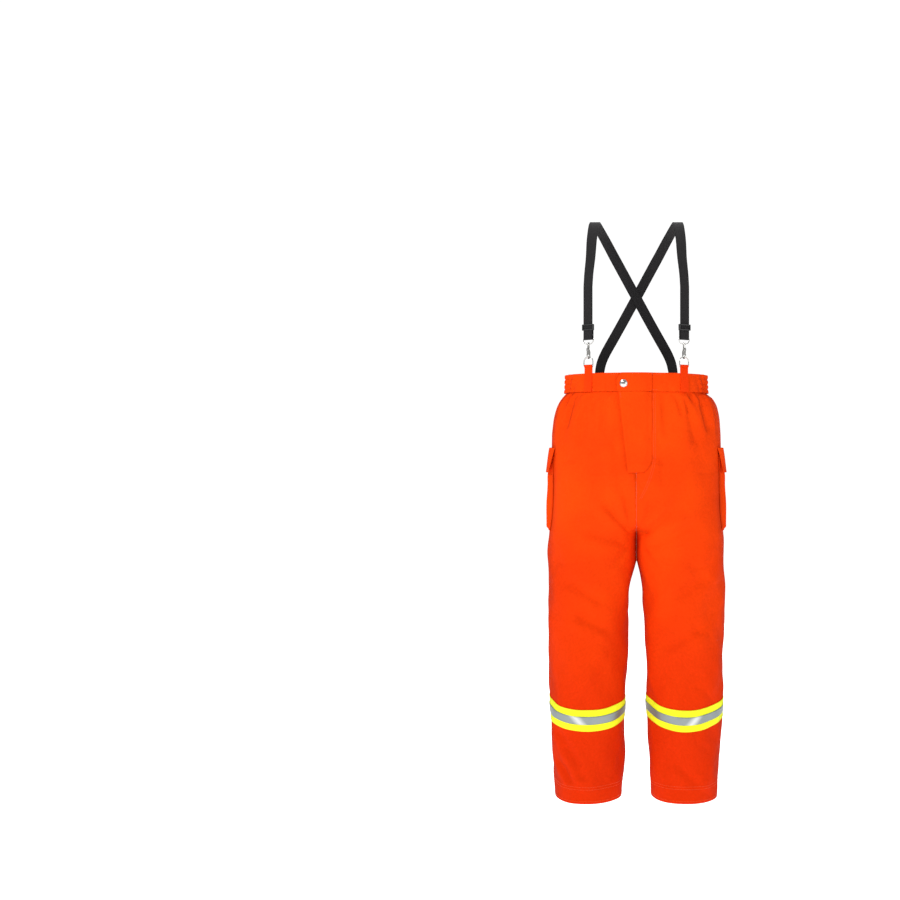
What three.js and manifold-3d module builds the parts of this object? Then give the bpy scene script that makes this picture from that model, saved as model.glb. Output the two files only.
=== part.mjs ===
// Firefighter's bunker pants with clip-on suspenders, in millimetres.
// Z points up and the wearer faces -Y, so +X is the wearer's left. The origin is the middle of the
// waist opening, level with the top edge of the waistband.
import * as THREE from "three";
import { mergeVertices } from "three/addons/utils/BufferGeometryUtils.js";
import Module from "manifold-3d";

// ---------- driving dimensions ----------

// Lengths down the garment.
const BAND_HEIGHT = 43;
const RISE = 372;
const INSEAM = 630;
const FLY_LENGTH = 230;
const ZIP_END = 200;

// Half widths (x), half depths (y) and depth centres of the body's sections.
const WAIST_HALF_WIDTH = 166;
const HIP_HALF_WIDTH = 202;
const THIGH_HALF_WIDTH = 211;
const KNEE_HALF_WIDTH = 209;
const HEM_HALF_WIDTH = 195;
const WAIST_HALF_DEPTH = 115;
const SEAT_HALF_DEPTH = 130;
const SEAT_CENTRE_Y = 9;
const SEAT_DROP = 258;
const THIGH_HALF_DEPTH = 112;
const KNEE_HALF_DEPTH = 95;
const HEM_HALF_DEPTH = 85;
const KNEE_HALF_GAP = 23;
const HEM_HALF_GAP = 35;

// Layers of the cloth, from the outside in.
const GAP = 0.3;
const LOOSE_GAP = 0.7;
const SHELL = 1.6;
const BARRIER = 0.8;
const LINER = 2.4;
const BAND = 1.8;
const FACING = 1.2;
const ELASTIC = 1.5;

// Fly.
const FLY_HINGE_X = 36.5;
const FLY_SLOT_HALF = 11;
const LINER_SLOT_HALF = 16.5;
const FLY_CLOTH = 1.6;
const FLY_STAND_OFF = 6.2;
const SNAP_X = -28.2;
const SNAP_DROP = 25;
const SNAP_CAP_RADIUS = 9;
const SNAP_POST_RADIUS = 2.2;

// Side pockets.
const POCKET_TOP = 173;
const POCKET_MOUTH = 193;
const POCKET_BOTTOM = 368;
const POCKET_FRONT_Y = -46;
const POCKET_BACK_Y = 90;
const POCKET_FACE_STAND_OFF = 7.5;
const POCKET_CLOTH = 1.6;
const POUCH_FOOT = 8;
const POUCH_SEAM_GAP = 1.1;
const FLAP_HEIGHT = 58;
const FLAP_OVERHANG = 4;
const PATCH_THICKNESS = 0.8;
const PATCH_HEIGHT = 25;

// Reflective trim.
const TAPE_HEIGHT = 50;
const SILVER_HEIGHT = 18.5;
const TAPE_DROP = 795;
const TAPE_SAG = 11;
const TAPE = 0.8;
const SILVER = 0.6;
const HEM_FACING_HEIGHT = 44;
const LINING_SHORT_OF_HEM = 53;

// Suspenders and their hardware.
const WEBBING_WIDTH = 25;
const WEBBING = 1.6;
const HARDWARE_X = 110;
const RING_TAB_WIDTH = 21;
const RING_TAB_CLOTH = 2;
const RING_BAR_HEIGHT = 16.5;
const RING_WIRE = 1.25;
const RING_SIDE_HEIGHT = 9.5;
const HOOK_WIRE = 1.6;
const HOOK_BEND = 5.5;
const HOOK_PLAY = 0.8;
const EYE_BAR_HEIGHT = 80;
const EYE_WIRE = 1.1;
const EYE_DROP = 13;
const COLLAR_RADIUS = 3.3;
const COLLAR_HALF_HEIGHT = 2.2;
const SHANK_RADIUS = 1.3;
const GATE_PIN_RADIUS = 0.8;
const ADJUSTER_HEIGHT = 106;
const ADJUSTER_BAR = 1.1;
const SHOULDER_HEIGHT = 368;
const SHOULDER_X = 98;
const CROSSING_HEIGHT = 203;
const BACK_STRAP_X = 92;
const STRAIGHT_STRAP_TOP = 200;

// Fineness of the curved sheets.
const PANEL_COLUMNS = 8;
const TRIM_ROWS = 6;
const SEAM_GAP = 0.4;

// ---------- colours ----------

const finish = (color, roughness, metalness) =>
  new THREE.MeshStandardMaterial({ color, roughness, metalness });
const SHELL_CLOTH = finish(0xf04010, 0.85, 0);
const BARRIER_CLOTH = finish(0xd8d6cc, 0.6, 0);
const LINER_CLOTH = finish(0x2a2c30, 0.95, 0);
const LIME = finish(0xe6f02a, 0.6, 0);
const RETROREFLECTIVE = finish(0xb4bdc2, 0.35, 0.3);
const BLACK_WEBBING = finish(0x232123, 0.9, 0);
const NICKEL = finish(0xc9ccce, 0.22, 1);
const BRASS = finish(0xb08d45, 0.3, 1);
const BLACK_METAL = finish(0x1c1c1e, 0.4, 0.6);

// ---------- solids ----------

const wasm = await Module();
wasm.setup();

const lerp = THREE.MathUtils.lerp;
const smooth = THREE.MathUtils.smoothstep;

// Turns the faces round when they point inwards.
function faceOut(geometry) {
  const p = geometry.attributes.position;
  const index = geometry.index.array;
  const corner = (k) => new THREE.Vector3().fromBufferAttribute(p, index[k]);
  let volume = 0;
  for (let k = 0; k < index.length; k += 3) {
    volume += corner(k).dot(corner(k + 1).cross(corner(k + 2)));
  }
  if (volume < 0) {
    for (let k = 0; k < index.length; k += 3) {
      [index[k + 1], index[k + 2]] = [index[k + 2], index[k + 1]];
    }
  }
  return geometry;
}

// A surface over a grid of points; a wrapped direction joins its last line to its first.
function gridFaces(rows, cols, wrapRows, wrapCols, first, faces, turned) {
  const rowLines = wrapRows ? rows : rows - 1;
  const colLines = wrapCols ? cols : cols - 1;
  for (let i = 0; i < rowLines; i++) {
    for (let j = 0; j < colLines; j++) {
      const a = first + i * cols + j;
      const b = first + i * cols + ((j + 1) % cols);
      const c = first + ((i + 1) % rows) * cols + ((j + 1) % cols);
      const d = first + ((i + 1) % rows) * cols + j;
      if (turned) faces.push(a, c, b, a, d, c);
      else faces.push(a, b, c, a, c, d);
    }
  }
}

function fromPoints(points, faces) {
  const geometry = new THREE.BufferGeometry().setFromPoints(points);
  geometry.setIndex(faces);
  return faceOut(geometry);
}

// A closed solid between an outer and an inner sheet that share one grid.
function sheetSolid(rows, cols, outer, inner, ring = false) {
  const points = [];
  for (const sheet of [outer, inner]) {
    for (let i = 0; i < rows; i++) for (let j = 0; j < cols; j++) points.push(sheet(i, j));
  }
  const faces = [];
  const half = rows * cols;
  gridFaces(rows, cols, false, ring, 0, faces, false);
  gridFaces(rows, cols, false, ring, half, faces, true);
  const rim = (a, b) => faces.push(a, half + a, half + b, a, half + b, b);
  const last = ring ? cols : cols - 1;
  for (let j = 0; j < last; j++) {
    const next = (j + 1) % cols;
    rim(j, next);
    rim((rows - 1) * cols + next, (rows - 1) * cols + j);
  }
  if (!ring) {
    for (let i = 0; i < rows - 1; i++) {
      rim((i + 1) * cols, i * cols);
      rim(i * cols + cols - 1, (i + 1) * cols + cols - 1);
    }
  }
  return fromPoints(points, faces);
}

// A round wire bent into a closed loop that lies in the local XZ plane.
function wireLoop(loop, radius, sides = 8) {
  const points = [];
  loop.forEach((p, i) => {
    const before = loop[(i + loop.length - 1) % loop.length];
    const after = loop[(i + 1) % loop.length];
    const along = after.clone().sub(before).normalize();
    for (let k = 0; k < sides; k++) {
      const a = ((k + 0.5) / sides) * 2 * Math.PI;
      const out = radius * Math.cos(a);
      points.push(
        new THREE.Vector3(p.x + along.y * out, radius * Math.sin(a), p.y - along.x * out),
      );
    }
  });
  const faces = [];
  gridFaces(loop.length, sides, true, true, 0, faces, false);
  return fromPoints(points, faces);
}

// A flat ribbon along a list of {at, across} stations, of the webbing's width and thickness.
function ribbon(stations, width, thickness) {
  const corners = [
    [-1, -1],
    [1, -1],
    [1, 1],
    [-1, 1],
  ];
  const points = [];
  stations.forEach(({ at, across }, i) => {
    const before = stations[Math.max(i - 1, 0)].at;
    const after = stations[Math.min(i + 1, stations.length - 1)].at;
    const along = after.clone().sub(before).normalize();
    const side = across.clone().addScaledVector(along, -across.dot(along)).normalize();
    const face = along.clone().cross(side);
    for (const [u, v] of corners) {
      points.push(
        at
          .clone()
          .addScaledVector(side, (u * width) / 2)
          .addScaledVector(face, (v * thickness) / 2),
      );
    }
  });
  const faces = [];
  gridFaces(stations.length, 4, false, true, 0, faces, false);
  const end = (stations.length - 1) * 4;
  faces.push(0, 3, 2, 0, 2, 1, end, end + 1, end + 2, end, end + 2, end + 3);
  return fromPoints(points, faces);
}

// Booleans: a geometry, placed by a matrix, as a solid, and a solid back as a geometry.
function solid(geometry, matrix = new THREE.Matrix4()) {
  const bare = new THREE.BufferGeometry();
  const source = geometry.index ? geometry.toNonIndexed() : geometry;
  bare.setAttribute("position", source.getAttribute("position").clone());
  const merged = mergeVertices(bare.applyMatrix4(matrix), 1e-3);
  return new wasm.Manifold(
    new wasm.Mesh({
      numProp: 3,
      vertProperties: merged.attributes.position.array,
      triVerts: new Uint32Array(merged.index.array),
    }),
  );
}

function asGeometry(manifold) {
  const mesh = manifold.getMesh();
  const geometry = new THREE.BufferGeometry();
  geometry.setAttribute("position", new THREE.BufferAttribute(mesh.vertProperties, 3));
  geometry.setIndex(new THREE.BufferAttribute(mesh.triVerts, 1));
  return geometry;
}

const join = (...solids) => solids.reduce((a, b) => a.add(b));
const move = (x, y, z) => new THREE.Matrix4().makeTranslation(x, y, z);

function block(x0, x1, y0, y1, z0, z1) {
  const box = new THREE.BoxGeometry(x1 - x0, y1 - y0, z1 - z0);
  return solid(box, move((x0 + x1) / 2, (y0 + y1) / 2, (z0 + z1) / 2));
}

// A turned piece standing on the local Z axis, from its (radius, height) outline.
function turned(outline, sides = 16) {
  const lathe = new THREE.LatheGeometry(
    outline.map(([r, h]) => new THREE.Vector2(r, h)),
    sides,
  );
  return lathe.rotateX(Math.PI / 2);
}

// An outline in (outward, up) coordinates, carried across the local X axis by a width.
function acrossX(shape, width) {
  const body = new THREE.ExtrudeGeometry(shape, {
    depth: width,
    bevelEnabled: false,
    curveSegments: 10,
  });
  const basis = new THREE.Matrix4().makeBasis(
    new THREE.Vector3(0, -1, 0),
    new THREE.Vector3(0, 0, 1),
    new THREE.Vector3(-1, 0, 0),
  );
  return body.applyMatrix4(basis).translate(width / 2, 0, 0);
}

const pants = new THREE.Group();

function add(name, geometry, material, parent = pants) {
  const mesh = new THREE.Mesh(geometry, material);
  mesh.name = name;
  parent.add(mesh);
  return mesh;
}

const SIDES = [
  ["left", 1],
  ["right", -1],
];

// ---------- the body's sections ----------

// One section of the garment: half width, half depth, depth centre, half gap between the legs and
// squareness (2 is an ellipse). Above the crotch the two halves share one outline, and each half's
// centre moves out as the legs part.
const below = (share) => RISE + INSEAM * share;
const UPPER_SQUARE = [2, 2.6];
const hipSwell = (share) => lerp(WAIST_HALF_WIDTH, HIP_HALF_WIDTH, share);
const SECTIONS = [
  [0, WAIST_HALF_WIDTH],
  [BAND_HEIGHT, WAIST_HALF_WIDTH + 2],
  [BAND_HEIGHT + 23, hipSwell(0.62)],
  [BAND_HEIGHT + 57, hipSwell(0.81)],
  [BAND_HEIGHT + 107, hipSwell(0.92)],
  [ZIP_END, HIP_HALF_WIDTH],
  [ZIP_END + 10, HIP_HALF_WIDTH],
  [SEAT_DROP, HIP_HALF_WIDTH],
]
  .map(([drop, halfWidth]) => ({
    drop,
    halfWidth,
    halfGap: 0,
    halfDepth: lerp(WAIST_HALF_DEPTH, SEAT_HALF_DEPTH, drop / SEAT_DROP),
    centreY: lerp(0, SEAT_CENTRE_Y, drop / SEAT_DROP),
    square: lerp(...UPPER_SQUARE, drop / SEAT_DROP),
  }))
  .concat(
    [
      [RISE - 80, HIP_HALF_WIDTH + 0.5, SEAT_HALF_DEPTH - 1, SEAT_CENTRE_Y, 0, 2.6],
      [RISE - 45, HIP_HALF_WIDTH + 2, SEAT_HALF_DEPTH - 4, SEAT_CENTRE_Y - 1, 0, 2.5],
      [RISE - 20, THIGH_HALF_WIDTH - 5, SEAT_HALF_DEPTH - 8, SEAT_CENTRE_Y - 2, 0, 2.45],
      [RISE, THIGH_HALF_WIDTH - 2.5, THIGH_HALF_DEPTH + 6, 6, 0.3, 2.4],
      [below(0.06), THIGH_HALF_WIDTH, THIGH_HALF_DEPTH + 2, 5, 0.4, 2.35],
      [below(0.117), THIGH_HALF_WIDTH, THIGH_HALF_DEPTH, 5, 0.6, 2.3],
      [below(0.143), THIGH_HALF_WIDTH, THIGH_HALF_DEPTH - 1, 4.5, 6, 2.3],
      [below(0.216), THIGH_HALF_WIDTH - 1, THIGH_HALF_DEPTH - 5, 4, 14, 2.25],
      [below(0.325), KNEE_HALF_WIDTH + 0.5, KNEE_HALF_DEPTH + 7, 3, 19, 2.2],
      [below(0.486), KNEE_HALF_WIDTH, KNEE_HALF_DEPTH + 1, 1, KNEE_HALF_GAP, 2.15],
      [below(0.578), KNEE_HALF_WIDTH, KNEE_HALF_DEPTH - 1, 1, KNEE_HALF_GAP + 1, 2.1],
      [
        below(0.919),
        HEM_HALF_WIDTH + 2.5,
        HEM_HALF_DEPTH + 2,
        2,
        HEM_HALF_GAP - 2,
        2.1,
      ],
      [below(1), HEM_HALF_WIDTH, HEM_HALF_DEPTH, 2, HEM_HALF_GAP, 2.1],
    ].map(([drop, halfWidth, halfDepth, centreY, halfGap, square]) => ({
      drop,
      halfWidth,
      halfDepth,
      centreY,
      halfGap,
      square,
    })),
  );
const HEM = below(1);

// Where one half of the garment has its centre and half width: the legs part from the zip's end
// down to the crotch along a parabola.
function halfOf(section) {
  if (section.drop >= RISE) {
    const reach = (section.halfWidth - section.halfGap) / 2;
    return { ...section, reach, centreX: section.halfGap + reach };
  }
  const parted = Math.max(0, (section.drop - ZIP_END) / (RISE - ZIP_END)) ** 2;
  const reach = section.halfWidth / (1 + parted);
  return { ...section, reach, centreX: parted * reach };
}
const HALVES = SECTIONS.map(halfOf);

function sectionAt(drop) {
  const upper = HALVES.findIndex((h, i) => i === HALVES.length - 2 || HALVES[i + 1].drop >= drop);
  const a = HALVES[upper];
  const b = HALVES[upper + 1];
  const t = (drop - a.drop) / (b.drop - a.drop);
  const mixed = {};
  for (const key of Object.keys(a)) mixed[key] = lerp(a[key], b[key], t);
  return mixed;
}

// The angle, from the side seam, at which a half's outline meets the plane |x| = clip.
function endAngle(section, offset, clip) {
  const share = (section.centreX - clip) / (section.reach + offset);
  const seam = Math.PI - SEAM_GAP / 2 / section.reach;
  if (share >= 1) return seam;
  if (share <= 0) return Math.acos(Math.abs(share) ** (section.square / 2));
  return Math.min(seam, Math.acos(-(share ** (section.square / 2))));
}

// A point of the outline: angle 0 is the side seam, -90 degrees the front, +90 degrees the back.
function outline(side, drop, angle, offset) {
  const s = sectionAt(drop);
  const power = 2 / s.square;
  const c = Math.sign(Math.cos(angle)) * Math.abs(Math.cos(angle)) ** power;
  const d = Math.sign(Math.sin(angle)) * Math.abs(Math.sin(angle)) ** power;
  return new THREE.Vector3(
    side * (s.centreX + (s.reach + offset) * c),
    s.centreY + (s.halfDepth + offset) * d,
    -drop,
  );
}

// The outline's depth at a given |x|, on the front (-1) or the back (+1), and its half width at a
// given y.
function depthAt(x, drop, face, offset) {
  const s = sectionAt(drop);
  const share = Math.abs((Math.abs(x) - s.centreX) / (s.reach + offset));
  return s.centreY + face * (s.halfDepth + offset) * (1 - share ** s.square) ** (1 / s.square);
}

function sideAt(y, drop, offset) {
  const s = sectionAt(drop);
  const share = Math.abs((y - s.centreY) / (s.halfDepth + offset));
  return s.centreX + (s.reach + offset) * (1 - share ** s.square) ** (1 / s.square);
}

// The heading of the outline's outward normal at |x|, as the turn about Z from straight ahead.
function turnAt(x, drop, offset) {
  const step = 0.5;
  const rise = depthAt(x + step, drop, -1, offset) - depthAt(x - step, drop, -1, offset);
  return Math.atan2(rise, 2 * step);
}

const dropsBetween = (top, bottom) => [
  top,
  ...HALVES.map((h) => h.drop).filter((d) => d > top + 1 && d < bottom - 1),
  bottom,
];

// A sheet over one half of the garment, between two angles given as shares of the way from the
// side seam (0) to the front (-1) or the back (+1).
function wrappedSheet(side, drops, from, to, columns, outerOffset, thickness, clipAt) {
  const point = (i, j, offset) => {
    const s = sectionAt(drops[i]);
    const seam = SEAM_GAP / 2 / s.halfDepth;
    const end = endAngle(s, offset, clipAt(drops[i]));
    const share = lerp(from, to, j / columns);
    const angle = Math.sign(share) * Math.max(Math.abs(share) * end, share === 0 ? 0 : seam);
    const edge = share === 0 ? Math.sign(from + to) * seam : angle;
    const p = outline(side, drops[i], edge, offset);
    if (Math.abs(share) === 1) p.x = side * Math.max(Math.abs(p.x), clipAt(drops[i]));
    return p;
  };
  return sheetSolid(
    drops.length,
    columns + 1,
    (i, j) => point(i, j, outerOffset),
    (i, j) => point(i, j, outerOffset - thickness),
  );
}

const centre = () => SEAM_GAP / 2;
const slotClip = (half) => (drop) =>
  drop > BAND_HEIGHT - 1 && drop < ZIP_END + 1 ? half : SEAM_GAP / 2;

// ---------- cloth layers ----------

const PANEL_TOP = 2;
const BARRIER_OFFSET = -SHELL - GAP;
const LINER_OFFSET = BARRIER_OFFSET - BARRIER - GAP;
const ELASTIC_OFFSET = LINER_OFFSET - LINER - LOOSE_GAP;
const FACING_OFFSET = ELASTIC_OFFSET - ELASTIC - GAP;
const BAND_OFFSET = LOOSE_GAP + BAND;
const LINING_END = HEM - LINING_SHORT_OF_HEM;

for (const [name, side] of SIDES) {
  const drops = dropsBetween(PANEL_TOP, HEM);
  const front = slotClip(FLY_SLOT_HALF);
  const panel = (from, to, clip) =>
    wrappedSheet(side, drops, from, to, PANEL_COLUMNS, 0, SHELL, clip);
  add(`front_panel_${name}`, panel(-1, 0, front), SHELL_CLOTH);
  add(`back_panel_${name}`, panel(0, 1, centre), SHELL_CLOTH);

  // Each lining goes round its half in one piece, slit at the inseam and open behind the zip.
  const liningDrops = dropsBetween(PANEL_TOP + 2, LINING_END);
  const lining = (offset, thickness) => {
    const clip = slotClip(LINER_SLOT_HALF);
    const point = (i, j, depth) => {
      const s = sectionAt(liningDrops[i]);
      const share = j / PANEL_COLUMNS - 1;
      const limit = share < 0 ? clip(liningDrops[i]) : SEAM_GAP / 2;
      const p = outline(side, liningDrops[i], share * endAngle(s, depth, limit), depth);
      if (Math.abs(share) === 1) p.x = side * Math.max(Math.abs(p.x), limit);
      return p;
    };
    return sheetSolid(
      liningDrops.length,
      2 * PANEL_COLUMNS + 1,
      (i, j) => point(i, j, offset),
      (i, j) => point(i, j, offset - thickness),
    );
  };
  add(`moisture_barrier_${name}`, lining(BARRIER_OFFSET, BARRIER), BARRIER_CLOTH);
  add(`thermal_liner_${name}`, lining(LINER_OFFSET, LINER), LINER_CLOTH);

  // Waistband: outer band on the front, elastic at the side and a facing inside.
  const bandDrops = [0, BAND_HEIGHT - GAP];
  const bandPiece = (from, to, columns, offset, thickness) =>
    wrappedSheet(side, bandDrops, from, to, columns, offset, thickness, () => 1);
  add(`waistband_front_${name}`, bandPiece(-1, 0, 8, BAND_OFFSET, BAND), SHELL_CLOTH);
  add(`waistband_back_${name}`, bandPiece(0, 1, 8, BAND_OFFSET, BAND), SHELL_CLOTH);
  add(`waist_elastic_${name}`, bandPiece(-0.375, 0.375, 6, ELASTIC_OFFSET, ELASTIC), BLACK_WEBBING);

  // Hem facing: a strip turned up inside the leg opening.
  const hemDrops = [HEM - HEM_FACING_HEIGHT, HEM - 2];
  const ringPoint = (drops, depth) => (i, j) =>
    outline(side, drops[i], (j / (2 * PANEL_COLUMNS)) * 2 * Math.PI, depth);
  add(
    `hem_facing_${name}`,
    sheetSolid(
      2,
      2 * PANEL_COLUMNS,
      ringPoint(hemDrops, BARRIER_OFFSET),
      ringPoint(hemDrops, BARRIER_OFFSET - FACING),
      true,
    ),
    SHELL_CLOTH,
  );

  // Reflective trim round the shin, hanging lower at the front.
  const trim = (height, offset, thickness) => {
    const point = (i, j, depth) => {
      const angle = (j / (2 * PANEL_COLUMNS)) * 2 * Math.PI;
      const sag = TAPE_SAG * Math.max(0, -Math.sin(angle)) ** 1.5;
      return outline(side, TAPE_DROP + sag + (i / (TRIM_ROWS - 1) - 0.5) * height, angle, depth);
    };
    return sheetSolid(
      TRIM_ROWS,
      2 * PANEL_COLUMNS,
      (i, j) => point(i, j, offset + thickness),
      (i, j) => point(i, j, offset),
      true,
    );
  };
  add(`lime_tape_${name}`, trim(TAPE_HEIGHT, GAP, TAPE), LIME);
  add(`silver_strip_${name}`, trim(SILVER_HEIGHT, 2 * GAP + TAPE, SILVER), RETROREFLECTIVE);
}

// The facing goes right round inside the band, open at the fly.
{
  const columns = 4 * PANEL_COLUMNS;
  const open = Math.asin(LINER_SLOT_HALF / WAIST_HALF_WIDTH);
  const point = (i, j, depth) => {
    const even = (j / columns) * 2 * Math.PI - Math.PI / 2;
    const angle = THREE.MathUtils.clamp(even, -Math.PI / 2 + open, (3 * Math.PI) / 2 - open);
    return outline(1, i * (BAND_HEIGHT - GAP), angle, depth);
  };
  const facing = sheetSolid(
    2,
    columns + 1,
    (i, j) => point(i, j, FACING_OFFSET),
    (i, j) => point(i, j, FACING_OFFSET - FACING),
  );
  add("waistband_facing", facing, LINER_CLOTH);
}

// ---------- fly ----------

// The flap is hinged at x = FLY_HINGE_X, close to the band there, and stands off the zip.
function flyPoint(x, drop, extra) {
  const stand = lerp(BAND_OFFSET + GAP, FLY_STAND_OFF, smooth(FLY_HINGE_X - x, 0, 16));
  return new THREE.Vector3(x, depthAt(x, drop, -1, stand + extra), -drop);
}

function flySheet(drops, freeEdge, columns) {
  const point = (i, j, extra) =>
    flyPoint(lerp(FLY_HINGE_X, freeEdge(drops[i]), j / columns), drops[i], extra);
  return sheetSolid(
    drops.length,
    columns + 1,
    (i, j) => point(i, j, FLY_CLOTH),
    (i, j) => point(i, j, 0),
  );
}

const TAB_CORNER_X = -33.5;
const TAB_POINT = 13;
const TAB_POINT_DROP = 20;
const FLAP_EDGE_X = [-41, -19];
const tabEdge = (drop) =>
  TAB_CORNER_X -
  TAB_POINT * Math.sin(Math.min(drop / TAB_POINT_DROP, 1) * (Math.PI / 2)) +
  drop / 20;
const flapEdge = (drop) => lerp(...FLAP_EDGE_X, (drop - BAND_HEIGHT) / (FLY_LENGTH - BAND_HEIGHT));
add(
  "waistband_tab",
  flySheet([0, 10, TAB_POINT_DROP, BAND_HEIGHT - GAP / 2], tabEdge, 10),
  SHELL_CLOTH,
);
add(
  "fly_flap",
  flySheet([BAND_HEIGHT + GAP / 2, 100, 150, ZIP_END, FLY_LENGTH], flapEdge, 10),
  SHELL_CLOTH,
);

// The snap fastener stands on the outline's normal, its local Z pointing out.
const snap = new THREE.Group();
snap.position.set(SNAP_X, depthAt(SNAP_X, SNAP_DROP, -1, 0), -SNAP_DROP);
snap.rotation.set(Math.PI / 2, 0, -turnAt(-SNAP_X, SNAP_DROP, 0), "ZYX");
pants.add(snap);
const TAB_INNER = FLY_STAND_OFF;
const TAB_OUTER = FLY_STAND_OFF + FLY_CLOTH;
const SOCKET_THICKNESS = 2;
const STUD_FOOT = 0.6;
const studBase = BAND_OFFSET + GAP;
const socketTop = TAB_INNER - GAP;
add(
  "snap_cap",
  turned([
    [0, TAB_OUTER + GAP],
    [SNAP_CAP_RADIUS - 0.6, TAB_OUTER + GAP],
    [SNAP_CAP_RADIUS, TAB_OUTER + GAP + 0.8],
    [SNAP_CAP_RADIUS - 2, TAB_OUTER + GAP + 2.4],
    [0, TAB_OUTER + GAP + 3.2],
  ]),
  NICKEL,
  snap,
);
add(
  "snap_socket",
  turned([
    [SNAP_POST_RADIUS + 0.5, socketTop - SOCKET_THICKNESS],
    [5.5, socketTop - SOCKET_THICKNESS],
    [6, socketTop],
    [SNAP_POST_RADIUS + 0.5, socketTop],
    [SNAP_POST_RADIUS + 0.5, socketTop - SOCKET_THICKNESS],
  ]),
  NICKEL,
  snap,
);
add(
  "snap_stud",
  turned([
    [0, studBase],
    [5, studBase],
    [5, studBase + STUD_FOOT],
    [SNAP_POST_RADIUS - 0.3, studBase + STUD_FOOT],
    [SNAP_POST_RADIUS, studBase + STUD_FOOT + 1.4],
    [SNAP_POST_RADIUS - 0.6, studBase + STUD_FOOT + 1.9],
    [0, studBase + STUD_FOOT + 1.9],
  ]),
  NICKEL,
  snap,
);

// The zip lies in a plane that leans with the front: local Z runs up it and local -Y points out.
const ZIP_TOP = BAND_HEIGHT + 5;
const ZIP_TAPE_EDGE = LINER_SLOT_HALF - 1.5;
const TEETH_INNER_X = 1;
const TEETH_OUTER_X = 3;
const SLIDER_LENGTH = 12;
const zip = new THREE.Group();
const zipTopY = depthAt(0, ZIP_TOP, -1, 0);
const zipEndY = depthAt(0, ZIP_END - 2, -1, 0);
zip.position.set(0, zipTopY, -ZIP_TOP);
zip.rotation.x = -Math.atan2(zipTopY - zipEndY, ZIP_END - 2 - ZIP_TOP);
pants.add(zip);
const zipLength = Math.hypot(zipEndY - zipTopY, ZIP_END - 2 - ZIP_TOP);
const TAPE_IN = SHELL + 0.8;
const ZIP_TAPE = 0.8;
const teethIn = TAPE_IN - 0.7;
const teethDepth = 2.2;
for (const [name, side] of SIDES) {
  const strip = (x0, x1, y0, y1) =>
    side > 0 ? block(x0, x1, y0, y1, -zipLength, 0) : block(-x1, -x0, y0, y1, -zipLength, 0);
  const cloth = strip(TEETH_INNER_X + 0.5, ZIP_TAPE_EDGE, TAPE_IN, TAPE_IN + ZIP_TAPE);
  const teeth = strip(TEETH_INNER_X, TEETH_OUTER_X, teethIn, teethIn + teethDepth);
  add(`zip_tape_${name}`, asGeometry(cloth.add(teeth)), BLACK_WEBBING, zip);
}
const sliderTop = -4;
const plate = (y0, y1) => block(-6, 6, y0, y1, sliderTop - SLIDER_LENGTH, sliderTop);
const sliderBody = join(
  plate(teethIn - 1.6, teethIn - 0.4),
  plate(teethIn + teethDepth + 0.4, teethIn + teethDepth + 1.6),
  block(-0.6, 0.6, teethIn - 1, teethIn + teethDepth + 1, sliderTop - SLIDER_LENGTH, sliderTop),
);
add("zip_slider", asGeometry(sliderBody), BRASS, zip);
const pullOut = teethIn - 1.6 - GAP;
const pullBody = block(-3, 3, pullOut - 1.2, pullOut, sliderTop - 32, sliderTop - 6);
add("zip_pull", asGeometry(pullBody), BRASS, zip);

// The underlap guards the zip from inside, sewn to the wearer's right.
{
  const drops = [BAND_HEIGHT + 1, 100, 150, ZIP_END, ZIP_END + 20];
  const columns = 5;
  const depth = LINER_OFFSET - LINER - 0.7;
  const point = (i, j, extra) => {
    const x = lerp(-30, 22, j / columns);
    return new THREE.Vector3(x, depthAt(x, drops[i], -1, depth - extra), -drops[i]);
  };
  const guard = sheetSolid(
    drops.length,
    columns + 1,
    (i, j) => point(i, j, 0),
    (i, j) => point(i, j, FLY_CLOTH),
  );
  add("fly_underlap", guard, SHELL_CLOTH);
}

// ---------- side pockets ----------

const pocketFace = HIP_HALF_WIDTH + POCKET_FACE_STAND_OFF;
const patchFace = pocketFace + POCKET_CLOTH;
const flapFace = patchFace + 2 * PATCH_THICKNESS + 3 * GAP;
const headerX = sideAt(SEAT_CENTRE_Y, POCKET_TOP, LOOSE_GAP) + 1.2;
const flapFront = POCKET_FRONT_Y - FLAP_OVERHANG;
const flapBack = POCKET_BACK_Y + FLAP_OVERHANG;

// Carries an outline in (|x|, z) along Y, on either side of the body.
function alongY(side, points, y0, y1) {
  const shape = new THREE.Shape(points.map(([x, z]) => new THREE.Vector2(side * x, z)));
  const bar = new THREE.ExtrudeGeometry(shape, { depth: y1 - y0, bevelEnabled: false });
  return bar.rotateX(Math.PI / 2).translate(0, y1, 0);
}

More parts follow.
